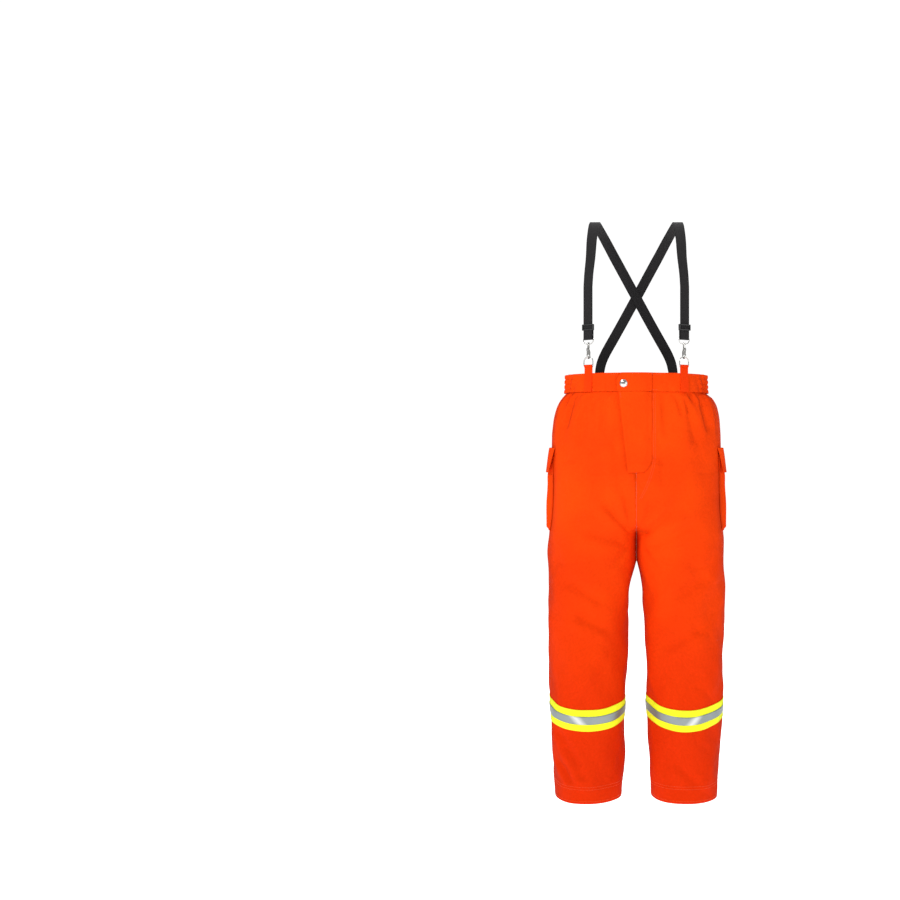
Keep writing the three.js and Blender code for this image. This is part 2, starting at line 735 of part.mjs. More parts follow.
for (const [name, side] of SIDES) {
  // The pouch is a tray sewn round three edges to the leg: its gussets rise to a flat face.
  const drops = [
    POCKET_MOUTH,
    SEAT_DROP,
    RISE - 80,
    RISE - 45,
    RISE - 20,
    POCKET_BOTTOM - POUCH_FOOT,
    POCKET_BOTTOM,
  ];
  const width = POCKET_BACK_Y - POCKET_FRONT_Y;
  const stops = [0, 6, 14, 0.3 * width, 0.5 * width, 0.7 * width, width - 12, width - 5, width];
  const lift = [0, 0, 1, 1, 1, 1, 1, 0, 0];
  const tray = (i, j, extra) => {
    const y = POCKET_FRONT_Y + stops[j];
    const leg = sideAt(y, drops[i], 0) + POUCH_SEAM_GAP;
    const full = drops[i] >= POCKET_BOTTOM - POUCH_FOOT ? 0 : lift[j];
    const x = Math.max(leg, lerp(leg, pocketFace, full)) + extra;
    return new THREE.Vector3(side * x, y, -drops[i]);
  };
  const pouch = sheetSolid(
    drops.length,
    stops.length,
    (i, j) => tray(i, j, POCKET_CLOTH),
    (i, j) => tray(i, j, 0),
  );
  add(`pocket_pouch_${name}`, pouch, SHELL_CLOTH);

  // The header is the fixed part of the flap, between the curved leg and the fold.
  const header = new THREE.Shape();
  const steps = 16;
  header.moveTo(side * headerX, flapFront);
  header.lineTo(side * headerX, flapBack);
  for (let k = 0; k <= steps; k++) {
    const y = lerp(flapBack, flapFront, k / steps);
    header.lineTo(side * sideAt(y, POCKET_TOP, LOOSE_GAP), y);
  }
  const strip = new THREE.ExtrudeGeometry(header, { depth: POCKET_CLOTH, bevelEnabled: false });
  strip.translate(0, 0, -POCKET_TOP - POCKET_CLOTH / 2);
  add(`pocket_header_${name}`, strip, SHELL_CLOTH);

  // The flap leans out over the mouth and then hangs straight down.
  const flap = alongY(
    side,
    [
      [headerX + GAP, -POCKET_TOP - POCKET_CLOTH / 2],
      [flapFace, -POCKET_TOP - 13],
      [flapFace, -POCKET_TOP - FLAP_HEIGHT],
      [flapFace + POCKET_CLOTH, -POCKET_TOP - FLAP_HEIGHT],
      [flapFace + POCKET_CLOTH, -POCKET_TOP - 12],
      [headerX + GAP, -POCKET_TOP + POCKET_CLOTH / 2],
    ],
    flapFront,
    flapBack,
  );
  add(`pocket_flap_${name}`, flap, SHELL_CLOTH);

  const patchTop = -POCKET_TOP - FLAP_HEIGHT + 6 + PATCH_HEIGHT;
  const patch = (inner) =>
    alongY(
      side,
      [
        [inner, patchTop],
        [inner, patchTop - PATCH_HEIGHT],
        [inner + PATCH_THICKNESS, patchTop - PATCH_HEIGHT],
        [inner + PATCH_THICKNESS, patchTop],
      ],
      POCKET_FRONT_Y + 24,
      POCKET_BACK_Y - 26,
    );
  add(`pouch_loop_patch_${name}`, patch(patchFace + GAP), BLACK_WEBBING);
  add(`flap_hook_patch_${name}`, patch(flapFace - GAP - PATCH_THICKNESS), BLACK_WEBBING);
}

// ---------- suspender hardware ----------

const ringHalfWidth = RING_TAB_WIDTH / 2 + 0.65 + RING_WIRE;
const ringTop = RING_BAR_HEIGHT + RING_SIDE_HEIGHT + ringHalfWidth;
const hookBottom = ringTop - RING_WIRE - HOOK_PLAY - HOOK_WIRE;
const bendHeight = hookBottom + HOOK_BEND;
const eyeHalfWidth = WEBBING_WIDTH / 2 + GAP + EYE_WIRE;
const collarHeight = EYE_BAR_HEIGHT - EYE_DROP;
const layerOut = EYE_WIRE + GAP + WEBBING / 2;
const hardwareTurn = turnAt(HARDWARE_X, 0, BAND_OFFSET);
const hardwareOffset = BAND_OFFSET + GAP + RING_TAB_CLOTH / 2;
const hardwareAt = (side) => {
  const y = depthAt(HARDWARE_X, 0, -1, BAND_OFFSET);
  const out = hardwareOffset - BAND_OFFSET + 0.3;
  return new THREE.Vector3(
    side * (HARDWARE_X + out * Math.sin(hardwareTurn)),
    y - out * Math.cos(hardwareTurn),
    0,
  );
};

// The tab: a cloth strip on the band whose top is rolled round the ring's bar. It leans out with the
// band towards its foot.
const bandLean =
  (depthAt(HARDWARE_X, 0, -1, BAND_OFFSET) - depthAt(HARDWARE_X, BAND_HEIGHT, -1, BAND_OFFSET)) *
  Math.cos(hardwareTurn);
function ringTab() {
  const half = RING_TAB_CLOTH / 2;
  const roll = RING_WIRE + 0.4 + 1.75;
  const meet = Math.asin(half / roll);
  const shape = new THREE.Shape();
  shape.moveTo(-half, 0);
  shape.lineTo(bandLean - half, -BAND_HEIGHT);
  shape.lineTo(bandLean + half, -BAND_HEIGHT);
  shape.lineTo(half, 0);
  shape.absarc(0, RING_BAR_HEIGHT, roll, -Math.PI / 2 + meet, (3 * Math.PI) / 2 - meet, false);
  const hole = new THREE.Path();
  hole.absarc(0, RING_BAR_HEIGHT, RING_WIRE + 0.4, 0, 2 * Math.PI, true);
  shape.holes.push(hole);
  return acrossX(shape, RING_TAB_WIDTH);
}

// The D-ring: a straight bar at the foot, upright sides and a half round over them.
function dRing() {
  const loop = [];
  const corner = 2;
  for (const s of [-1, 1]) {
    for (let k = 0; k <= 3; k++) {
      const a = s < 0 ? Math.PI + (k * Math.PI) / 6 : (3 * Math.PI) / 2 + (k * Math.PI) / 6;
      loop.push(
        new THREE.Vector2(
          s * (ringHalfWidth - corner) + corner * Math.cos(a),
          RING_BAR_HEIGHT + corner + corner * Math.sin(a),
        ),
      );
    }
  }
  for (let k = 0; k <= 12; k++) {
    const a = (k * Math.PI) / 12;
    loop.push(
      new THREE.Vector2(
        ringHalfWidth * Math.cos(a),
        RING_BAR_HEIGHT + RING_SIDE_HEIGHT + ringHalfWidth * Math.sin(a),
      ),
    );
  }
  return wireLoop(loop, RING_WIRE);
}

// The swivel eye: a bar for the webbing, a bow below it and a bored collar at the bow's foot.
function swivelEye() {
  const loop = [];
  const shoulder = 3.5;
  loop.push(new THREE.Vector2(eyeHalfWidth - 1.2, EYE_BAR_HEIGHT));
  loop.push(new THREE.Vector2(-eyeHalfWidth + 1.2, EYE_BAR_HEIGHT));
  loop.push(new THREE.Vector2(-eyeHalfWidth, EYE_BAR_HEIGHT - 1.2));
  for (let k = 0; k <= 12; k++) {
    const a = Math.PI + (k * Math.PI) / 12;
    loop.push(
      new THREE.Vector2(
        eyeHalfWidth * Math.cos(a),
        EYE_BAR_HEIGHT - shoulder + (EYE_DROP - shoulder) * Math.sin(a),
      ),
    );
  }
  loop.push(new THREE.Vector2(eyeHalfWidth, EYE_BAR_HEIGHT - 1.2));
  const collar = turned(
    [
      [0, collarHeight - COLLAR_HALF_HEIGHT],
      [COLLAR_RADIUS, collarHeight - COLLAR_HALF_HEIGHT],
      [COLLAR_RADIUS, collarHeight + COLLAR_HALF_HEIGHT],
      [0, collarHeight + COLLAR_HALF_HEIGHT],
    ],
    12,
  );
  const bore = turned(
    [
      [0, collarHeight - 6],
      [SHANK_RADIUS + 0.4, collarHeight - 6],
      [SHANK_RADIUS + 0.4, collarHeight + 6],
      [0, collarHeight + 6],
    ],
    12,
  );
  return asGeometry(solid(wireLoop(loop, EYE_WIRE)).add(solid(collar)).subtract(solid(bore)));
}

// The hook, in its own (outward, up) plane: a turned shank in the eye's collar, a neck that swings
// back to the spine, the bend under the ring and a short tip in front.
const shoulderTop = collarHeight - COLLAR_HALF_HEIGHT - 0.4;
const headFoot = collarHeight + COLLAR_HALF_HEIGHT + 0.4;
const gatePivotOut = 3;
const gatePivotHeight = shoulderTop - 8.7;
const tipHeight = bendHeight + 3;

const pinBar = (radius, halfLength) =>
  solid(
    turned(
      [
        [0, -halfLength],
        [radius, -halfLength],
        [radius, halfLength],
        [0, halfLength],
      ],
      10,
    ),
    move(0, -gatePivotOut, gatePivotHeight).multiply(
      new THREE.Matrix4().makeRotationY(Math.PI / 2),
    ),
  );

function hookBody() {
  const shank = turned(
    [
      [0, shoulderTop - 6.5],
      [SHANK_RADIUS + 1.3, shoulderTop - 6.5],
      [SHANK_RADIUS + 1.3, shoulderTop],
      [SHANK_RADIUS, shoulderTop],
      [SHANK_RADIUS, headFoot],
      [SHANK_RADIUS + 1.3, headFoot],
      [SHANK_RADIUS + 1.3, headFoot + 1.6],
      [0, headFoot + 1.6],
    ],
    12,
  );
  const route = [
    [0, shoulderTop - 4],
    [-2.6, shoulderTop - 8],
    [-HOOK_BEND, shoulderTop - 13],
    [-HOOK_BEND, bendHeight + 4],
  ];
  for (let k = 0; k <= 6; k++) {
    const a = Math.PI + (k * Math.PI) / 6;
    route.push([HOOK_BEND * Math.cos(a), bendHeight + HOOK_BEND * Math.sin(a)]);
  }
  route.push([HOOK_BEND, tipHeight]);
  const path = new THREE.CatmullRomCurve3(route.map(([n, z]) => new THREE.Vector3(0, -n, z)));
  const wire = new THREE.Shape().absarc(0, 0, HOOK_WIRE, 0, 2 * Math.PI, false);
  const bend = new THREE.ExtrudeGeometry(wire, {
    steps: 26,
    curveSegments: 4,
    extrudePath: path,
    bevelEnabled: false,
  });
  const head = block(
    -1.6,
    1.6,
    -gatePivotOut - 1.4,
    1,
    gatePivotHeight - 2,
    shoulderTop - 5.5,
  );
  return asGeometry(join(solid(shank), solid(bend), head).subtract(pinBar(GATE_PIN_RADIUS + 0.3, 5)));
}

// The gate: two cheeks on the pin and a plate that closes behind the tip.
const GATE_CHEEK_IN = 1.9;
const GATE_CHEEK_OUT = 2.9;
function gate() {
  const cheek = (x0, x1) =>
    block(x0, x1, -gatePivotOut - 1.4, -gatePivotOut + 1.4, gatePivotHeight - 4.2, gatePivotHeight + 1.7);
  const closing = block(
    -GATE_CHEEK_OUT,
    GATE_CHEEK_OUT,
    -gatePivotOut - 0.2,
    -gatePivotOut + 1,
    tipHeight - 1.2,
    gatePivotHeight - 3.2,
  );
  return asGeometry(
    join(cheek(GATE_CHEEK_IN, GATE_CHEEK_OUT), cheek(-GATE_CHEEK_OUT, -GATE_CHEEK_IN), closing).subtract(
      pinBar(GATE_PIN_RADIUS + 0.3, 5),
    ),
  );
}

// The adjuster: two bars in front of the webbing, one behind it and a rail at each end.
function adjuster() {
  const inside = WEBBING_WIDTH / 2 + 0.4;
  const outside = inside + 2;
  const frontIn = layerOut + WEBBING / 2 + GAP;
  const frontOut = frontIn + 1.8;
  const bar = (n0, n1, z0, z1) =>
    block(-outside, outside, -n1, -n0, ADJUSTER_HEIGHT + z0, ADJUSTER_HEIGHT + z1);
  const rail = (x0, x1) =>
    block(x0, x1, -frontOut, ADJUSTER_BAR, ADJUSTER_HEIGHT - 7, ADJUSTER_HEIGHT + 7);
  return asGeometry(
    join(
      rail(inside, outside),
      rail(-outside, -inside),
      bar(frontIn, frontOut, -7, -4.6),
      bar(frontIn, frontOut, 4.6, 7),
      bar(-ADJUSTER_BAR, ADJUSTER_BAR, -1.2, 1.2),
    ),
  );
}

for (const [name, side] of SIDES) {
  const hardware = new THREE.Group();
  hardware.position.copy(hardwareAt(side));
  hardware.rotation.z = side * hardwareTurn;
  pants.add(hardware);
  add(`ring_tab_${name}`, ringTab(), SHELL_CLOTH, hardware);
  add(`d_ring_${name}`, dRing(), NICKEL, hardware);
  add(`hook_eye_${name}`, swivelEye(), NICKEL, hardware);
  add(`hook_body_${name}`, hookBody(), NICKEL, hardware);
  add(`hook_gate_${name}`, gate(), NICKEL, hardware);
  add(`gate_pin_${name}`, asGeometry(pinBar(GATE_PIN_RADIUS, 3.3)), NICKEL, hardware);
  add(`strap_adjuster_${name}`, adjuster(), BLACK_METAL, hardware);

  // The suspender strap: round the eye's bar, up the chest, over the shoulder, across the back and
  // down onto the other side of the waistband, where it is sewn.
  const origin = hardwareAt(side);
  const out = new THREE.Vector3(
    side * Math.sin(hardwareTurn),
    -Math.cos(hardwareTurn),
    0,
  );
  const across = new THREE.Vector3(Math.cos(hardwareTurn), side * Math.sin(hardwareTurn), 0);
  const straight = new THREE.Vector3(1, 0, 0);
  const layer = (n, z) => origin.clone().addScaledVector(out, n).setZ(z);
  const route = [];
  route.push({ at: layer(-layerOut, EYE_BAR_HEIGHT + 7), across });
  for (let k = 0; k <= 6; k++) {
    const a = Math.PI + (k * Math.PI) / 6;
    route.push({
      at: layer(layerOut * Math.cos(a), EYE_BAR_HEIGHT + layerOut * Math.sin(a)),
      across,
    });
  }
  route.push({ at: layer(layerOut, STRAIGHT_STRAP_TOP), across });

  // Shoulder and back: points chosen by hand, smoothed by a spline.
  const chest = layer(layerOut, STRAIGHT_STRAP_TOP);
  const apart = side * (WEBBING / 2 + GAP / 2);
  const sewnX = -BACK_STRAP_X;
  const sewnOffset = BAND_OFFSET + GAP + WEBBING / 2 + 0.2;
  const sewnY = (drop) => depthAt(BACK_STRAP_X, Math.max(drop, 0), 1, sewnOffset);
  const points = [
    [(chest.x * side + 106) / 2 + 1, chest.y - 1, STRAIGHT_STRAP_TOP + 30],
    [106, chest.y + 4, 270],
    [104, chest.y + 20, 312],
    [101, chest.y + 45, 347],
    [SHOULDER_X + 1, chest.y + 75, 364],
    [SHOULDER_X, 10, SHOULDER_HEIGHT],
    [89.6, 40, 358],
    [75.5, 72, 337],
    [56, 98, 304],
    [36, 110, 269],
    [15.3, 112 + apart, 231],
    [0, 112 + apart, CROSSING_HEIGHT],
    [-15.3, 112 + apart, 175],
    [-36, 111, 137],
    [-56, 109, 101],
    [-76, 107, 65],
    [sewnX + 6, 105, 42],
    [sewnX + 1.5, sewnY(0) + 1, 22],
    [sewnX, sewnY(0), 4],
    [sewnX, sewnY(20), -20],
    [sewnX, sewnY(BAND_HEIGHT - 3), -(BAND_HEIGHT - 3)],
  ].map(([x, y, z]) => new THREE.Vector3(side * x, y, z));
  const upper = new THREE.CatmullRomCurve3([chest, ...points]);
  const steps = 44;
  const sewnTurn = turnAt(BACK_STRAP_X, 0, BAND_OFFSET);
  const sewnAcross = new THREE.Vector3(Math.cos(sewnTurn), side * Math.sin(sewnTurn), 0);
  for (let k = 1; k <= steps; k++) {
    const t = k / steps;
    const toShoulder = smooth(t, 0, 0.3);
    const toBand = smooth(t, 0.75, 0.95);
    route.push({
      at: upper.getPointAt(t),
      across: across.clone().lerp(straight, toShoulder).lerp(sewnAcross, toBand),
    });
  }
  add(`suspender_strap_${name}`, ribbon(route, WEBBING_WIDTH, WEBBING), BLACK_WEBBING);

  // The strap's end, folded back up behind itself to the adjuster's rear bar.
  const tail = [EYE_BAR_HEIGHT + 7 + GAP, ADJUSTER_HEIGHT + 1].map((z) => ({
    at: layer(-layerOut, z),
    across,
  }));
  add(`strap_tail_${name}`, ribbon(tail, WEBBING_WIDTH, WEBBING), BLACK_WEBBING);
}

export default pants;
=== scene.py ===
import bpy, math
import numpy as np
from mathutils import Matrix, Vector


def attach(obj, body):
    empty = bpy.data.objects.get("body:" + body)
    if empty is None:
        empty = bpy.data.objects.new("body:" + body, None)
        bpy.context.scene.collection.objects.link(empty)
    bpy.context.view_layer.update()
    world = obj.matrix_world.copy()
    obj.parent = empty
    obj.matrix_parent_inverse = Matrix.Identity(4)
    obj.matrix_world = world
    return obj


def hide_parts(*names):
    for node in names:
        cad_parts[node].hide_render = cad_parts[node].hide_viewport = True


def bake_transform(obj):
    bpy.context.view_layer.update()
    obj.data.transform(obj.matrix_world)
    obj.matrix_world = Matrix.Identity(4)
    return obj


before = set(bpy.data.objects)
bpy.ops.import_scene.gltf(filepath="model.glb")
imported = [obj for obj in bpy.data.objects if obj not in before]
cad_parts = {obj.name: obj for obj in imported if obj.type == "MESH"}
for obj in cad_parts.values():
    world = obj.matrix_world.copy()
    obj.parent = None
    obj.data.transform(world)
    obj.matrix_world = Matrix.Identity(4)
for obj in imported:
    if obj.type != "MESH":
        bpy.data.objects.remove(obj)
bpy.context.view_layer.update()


# ---------- Camera, floor and light ----------
# A studio shot of the empty trousers held up as if worn: a level camera in front, a white sweep
# and broad soft lights that leave almost no shadow.
scene = bpy.context.scene
scene.view_settings.view_transform = "Standard"
camera = bpy.data.objects.new("camera", bpy.data.cameras.new("camera"))
scene.collection.objects.link(camera)
scene.camera = camera
camera.location = (0, -2.6, -0.178)
camera.rotation_euler = (math.radians(90), 0, 0)
camera.data.lens = 43.3
camera.data.sensor_width = 36
camera.data.shift_x = -0.207

bpy.ops.mesh.primitive_plane_add(size=60, location=(0, 0, -1.16))
floor = bpy.context.object
floor.name = "floor"
paper = bpy.data.materials.new("white_paper")
paper.use_nodes = True
for socket, value in (("Base Color", (0.96, 0.96, 0.96, 1)), ("Roughness", 0.9),
                      ("Emission Color", (1, 1, 1, 1)), ("Emission Strength", 0.75)):
    paper.node_tree.nodes["Principled BSDF"].inputs[socket].default_value = value
floor.data.materials.append(paper)

sky = bpy.data.worlds.new("studio")
scene.world = sky
sky.use_nodes = True
sky.node_tree.nodes["Background"].inputs["Color"].default_value = (1, 1, 1, 1)
rays = sky.node_tree.nodes.new("ShaderNodeLightPath")
seen = sky.node_tree.nodes.new("ShaderNodeMapRange")
seen.inputs["To Min"].default_value = 0.34
seen.inputs["To Max"].default_value = 1.05
sky.node_tree.links.new(rays.outputs["Is Camera Ray"], seen.inputs["Value"])
sky.node_tree.links.new(seen.outputs[0], sky.node_tree.nodes["Background"].inputs["Strength"])
for name, place, aim, size, watts in (
    ("key_light", (-2.2, -2.9, 2.4), (0, 0, -0.4), 1.1, 104),
    ("fill_light", (2.9, -3.2, 0.5), (0, 0, -0.5), 2.2, 28),
    ("top_light", (0.2, 0.6, 2.6), (0, 0, -0.2), 2.0, 34),
    ("back_light", (0.6, 3.4, 1.0), (0, 0, -0.4), 2.6, 62),
):
    lamp = bpy.data.lights.new(name, "AREA")
    lamp.size = size
    lamp.energy = watts
    held = bpy.data.objects.new(name, lamp)
    held.location = place
    toward = np.array(aim) - np.array(place)
    held.rotation_euler = Vector(toward).to_track_quat("-Z", "Y").to_euler()
    scene.collection.objects.link(held)


# ---------- The shell: front and back panels ----------
# Woven aramid cloth, sewn at the sides, the inseams and the centre. It is gathered under the
# waistband, creases where the legs part and hangs in soft diagonal folds down the legs.
STATIONS = np.array([
    [0, 166, 115, 0, 0, 2], [43, 168, 117.5, 1.5, 0, 2.1], [66, 188.3, 118.8, 2.3, 0, 2.15],
    [100, 198, 120.8, 3.5, 0, 2.23], [150, 202.5, 123.7, 5.2, 0, 2.35],
    [200, 203.5, 126.6, 7, 0, 2.46], [210, 203.3, 127.2, 7.3, 0, 2.49], [258, 202, 130, 9, 0, 2.6],
    [292, 202.5, 129, 9, 0, 2.6], [327, 204, 126, 8, 0, 2.5], [352, 206, 122, 7, 0, 2.45],
    [372, 208.5, 118, 6, -2, 2.4], [409.8, 211, 114, 5, -2.4, 2.35],
    [441, 211, 112, 5, -1.5, 2.3], [463, 211, 111, 4.5, 4.5, 2.3],
    [508.1, 210, 107, 4, 14, 2.25], [576.8, 209.5, 102, 3, 19, 2.2],
    [678.2, 209, 96, 1, 23, 2.15], [736.1, 209, 94, 1, 24, 2.1],
    [951, 197.5, 87, 2, 33, 2.1], [1002, 195, 85, 2, 35, 2.1],
])
STATIONS[:, :5] /= 1000
RISE, HEM, ZIP_END, BAND_HEIGHT = 0.372, 1.002, 0.2, 0.043
CLOTH, SEAM_GAP = 0.0016, 0.00006
SIDES = (("left", 1), ("right", -1))


def section(drop):
    """Half width, half depth, depth centre, half gap and squareness at a drop: straight between
    the stations, then averaged over 12 mm each way so that no station shows as a ridge."""
    drop = np.asarray(drop, float)
    reach = np.minimum(0.012, np.minimum(drop, HEM - drop))
    reach = np.where(drop < 0.07, np.minimum(reach, np.abs(drop - BAND_HEIGHT)), reach)
    steps = [drop + reach * k / 3 for k in range(-3, 4)]
    return [
        np.mean([np.interp(d, STATIONS[:, 0], STATIONS[:, c]) for d in steps], axis=0)
        for c in range(1, 6)
    ]


def half_section(drop):
    """One leg's centre x and half width. The two halves share one outline at the waist and part
    along a parabola from the zip's end to the crotch."""
    width, depth, middle, gap, square = section(drop)
    parted = np.clip((drop - ZIP_END) / (RISE - ZIP_END), 0, None) ** 2
    above = width / (1 + parted)
    below = (width - gap) / 2
    is_leg = drop >= RISE
    reach = np.where(is_leg, below, above)
    return np.where(is_leg, gap + reach, parted * reach), reach, depth, middle, square


def line_fold(x, z, start, end, width, depth):
    """A crease pressed into the cloth: a valley along a line, with a softer ridge beside it,
    fading at both ends. Start and end are (x, z)."""
    a, b = np.array(start), np.array(end)
    along = b - a
    length = np.hypot(*along)
    along = along / length
    t = ((x - a[0]) * along[0] + (z - a[1]) * along[1]) / length
    off = (x - a[0]) * along[1] - (z - a[1]) * along[0]
    fade = np.exp(-np.clip(np.abs(t - 0.5) - 0.36, 0, None) ** 2 / 0.02)
    valley = np.exp(-((off / width) ** 2))
    ridge = np.exp(-(((off - 1.9 * width) / (1.3 * width)) ** 2))
    return 1.75 * depth * fade * (0.6 * ridge - valley)


def creases(x, z, table):
    """The sum of a table of creases: start x and z, end x and z, width and depth, in mm."""
    return sum(line_fold(x, z, row[:2], row[2:4], *row[4:]) for row in np.array(table) / 1000)


def folds(side, drop, angle):
    """How far the cloth stands out from the smooth body: gathers under the waistband, creases at
    the crotch and knees, and a slow unevenness everywhere but under the fly and the pockets."""
    middle_x, reach, depth, middle, square = half_section(drop)
    c, s = np.cos(angle), np.sin(angle)
    x = side * (middle_x + reach * np.sign(c) * np.abs(c) ** (2 / square))
    y = middle + depth * np.sign(s) * np.abs(s) ** (2 / square)
    z = -drop
    front = np.clip(-s * 1.6, 0, 1)
    back = np.clip(s * 1.6, 0, 1)
    # Pleats gathered into the band, deepest beside the elastic.
    under = np.exp(-np.clip(drop - BAND_HEIGHT - 0.012, 0, None) / 0.038)
    spread = 0.22 + 0.78 * np.exp(-((np.abs(angle) - 0.55) / 0.42) ** 2)
    pleats = 0.0031 * np.sin(angle * 27 + 1.3 * side) + 0.0019 * np.sin(angle * 43 + 0.7)
    long = np.exp(-np.clip(drop - BAND_HEIGHT - 0.02, 0, None) / 0.11)
    out = pleats * under * spread + 0.0021 * long * np.sin(angle * 13 + side + drop * 6)
    # Slow waves down the leg that swap side as they go.
    leg = np.clip((drop - RISE) / 0.06, 0, 1)
    out = out + 0.0020 * np.sin(angle * 3 + drop * 13 + side) * np.sin(drop * 9 + 1 + side)
    out = out + leg * 0.0021 * np.sin(angle * 4 - drop * 23 + 2 * side)
    out = out + leg * 0.0014 * np.sin(angle * 7 + drop * 41 + side) * np.sin(drop * 15)
    out = out + leg * 0.0006 * np.sin(angle * 11 - drop * 73 + 2 * side) * np.sin(drop * 27 + side)
    out = out * np.maximum(np.clip(np.abs(x) / 0.05, 0, 1), np.clip((drop - 0.42) / 0.05, 0, 1))
    # The crotch: creases that fan out from the fork, front and back, and die out at the seam.
    off_seam = np.clip((np.abs(x) - 0.004) / 0.014, 0, 1)
    off_seam = np.maximum(off_seam, np.clip((drop - 0.40) / 0.03, 0, 1))
    out = out + front * off_seam * creases(x, z, (
        (-28, -276, -10, -352, 7, 2.6), (36, -290, 12, -362, 7.5, 2.2),
        (-75, -300, -12, -368, 8, 3.2), (85, -312, 14, -378, 8, 3),
        (-120, -365, -30, -392, 10, 2.2), (125, -352, 32, -402, 10, 2.4),
        (-60, -455, -18, -402, 7, 2), (58, -462, 16, -408, 7, 2.2),
    ))
    out = out + back * off_seam * creases(x, z, (
        (-62, -262, -26, -345, 11, 2.4), (68, -270, 28, -352, 11, 2.4),
        (-120, -330, -34, -388, 12, 2.6), (115, -322, 32, -396, 12, 2.6),
        (-150, -110, -60, -205, 12, 2.2), (146, -118, 52, -214, 12, 2.2),
        (-160, -600, -60, -560, 10, 3.2), (60, -592, 158, -555, 10, 3),
        (-150, -640, -70, -618, 8, 2.6), (72, -635, 150, -618, 8, 2.4),
    ))
    # The hips, knees and shins: soft slanting folds that differ from leg to leg.
    out = out + front * creases(x, z, (
        (-152, -66, -172, -128, 9, 3.4), (152, -66, 174, -136, 10, 3.6),
        (120, -75, 140, -170, 11, 2.6), (-118, -75, -134, -165, 11, 2.6),
        (62, -66, 68, -150, 8, 2.2), (-72, -62, -78, -140, 8, 2),
        (46, -110, 60, -260, 10, 2.2), (-50, -150, -34, -280, 9, 2.4),
        (96, -62, 104, -100, 4, 2), (112, -60, 122, -92, 4, 1.8),
        (-98, -62, -106, -96, 4, 1.8), (42, -190, 64, -214, 5, 1.8),
        (-160, -480, -75, -535, 11, 2.6), (85, -520, 165, -470, 12, 2.4),
        (-140, -560, -60, -600, 10, 2.2), (60, -640, 150, -590, 12, 2.4),
        (-182, -838, -128, -915, 8, 3), (-172, -868, -118, -945, 8, 2.6),
        (-186, -905, -150, -955, 6, 2.4), (90, -905, 150, -965, 10, 1.8),
        (-75, -700, -130, -760, 12, 1.8),
    ))
    # Nothing pushes on the fly, the pockets, the waistband or the seams.
    on_fly = np.exp(-((x / 0.052) ** 6)) * (drop < 0.262) * front
    fade = np.clip((drop - 0.232) / 0.03, 0, 1)
    out = out * (1 - on_fly * (1 - fade))
    beside = np.clip((np.abs(y - 0.022) - 0.072) / 0.02, 0, 1)
    level = np.clip(np.maximum(0.160 - drop, drop - 0.378) / 0.02, 0, 1)
    out = out * np.maximum(np.maximum(beside, level), (c < 0) * 1.0)
    out = out * np.clip((drop - BAND_HEIGHT) / 0.010, 0, 1)
    return out * np.clip((HEM - drop) / 0.05, 0.35, 1)


def outline(side, drop, angle, offset):
    """A point of the garment: angle 0 is the side seam, -90 degrees the front and +90 the back;
    the section is a squared ellipse and the offset stands it off the shell's outer face."""
    middle_x, reach, depth, middle, square = half_section(drop)
    c, s = np.cos(angle), np.sin(angle)
    power = 2 / square
    c, s = np.sign(c) * np.abs(c) ** power, np.sign(s) * np.abs(s) ** power
    out = offset + folds(side, drop, angle)
    x = side * (middle_x + (reach + out) * c)
    y = middle + (depth + out) * s
    # Above the fork the cloth bridges between the thighs instead of dipping in between them.
    share = np.clip(np.abs((0.034 - middle_x) / (reach + out)), 0, 1)
    bridge = middle + np.sign(s) * (depth + out) * (1 - share ** square) ** (1 / square)
    spans = np.exp(-((x / 0.026) ** 2)) * np.clip((0.388 - drop) / 0.045, 0, 1)
    spans = spans * np.clip((drop - ZIP_END) / 0.03, 0, 1) * (np.abs(s) > 0.05)
    y = y + (bridge - y) * 0.72 * spans
    return np.stack([x, y, -drop + 0 * x], axis=-1)


def end_angle(drop, offset, clip):
    """The angle at which a half's outline meets the plane |x| = clip."""
    middle_x, reach, depth, middle, square = half_section(drop)
    share = np.clip((middle_x - clip) / (reach + offset), -0.999, None)
    seam = math.pi - SEAM_GAP / 2 / reach
    bent = np.sign(share) * np.abs(np.clip(share, -1, 1)) ** (square / 2)
    return np.minimum(seam, np.arccos(np.clip(-bent, -1, 1)))


def fly_slot(drop, half):
    """Half the width left open for the zip at this drop, closing over 6 mm at each end."""
    open_here = np.clip((drop - BAND_HEIGHT + 0.002) / 0.004, 0, 1)
    open_here = open_here * np.clip((ZIP_END + 0.001 - drop) / 0.006, 0, 1)
    return SEAM_GAP / 2 + open_here * (half - SEAM_GAP / 2)


def xyz(x, y, z):
    """A grid of points from x, y and z that broadcast together."""
    return np.stack(np.broadcast_arrays(x, y, z), axis=-1)


def read_at(at, run, rows):
    """Rows read at new distances, straight between the distances where they are known."""
    return np.stack([np.interp(at, run, rows[:, c]) for c in range(rows.shape[1])], axis=1)


def run_along(points):
    """The distance from the first point to each point, along the line."""
    return np.concatenate([[0], np.cumsum(np.linalg.norm(np.diff(points, axis=0), axis=1))])


def mesh_piece(name, points, faces, uv=None):
    """A mesh object at the origin from corner points and faces, with a uv pair at each point."""
    mesh = bpy.data.meshes.new(name)
    mesh.from_pydata(points, [], faces.tolist() if hasattr(faces, "tolist") else faces)
    if uv is not None:
        corner = np.zeros(len(mesh.loops), np.int32)
        mesh.loops.foreach_get("vertex_index", corner)
        layer = mesh.uv_layers.new(name="cloth")
        layer.data.foreach_set("uv", uv[corner].astype(np.float32).ravel())
    mesh.polygons.foreach_set("use_smooth", np.full(len(mesh.polygons), True))
    mesh.update()
    piece = bpy.data.objects.new(name, mesh)
    scene.collection.objects.link(piece)
    return piece


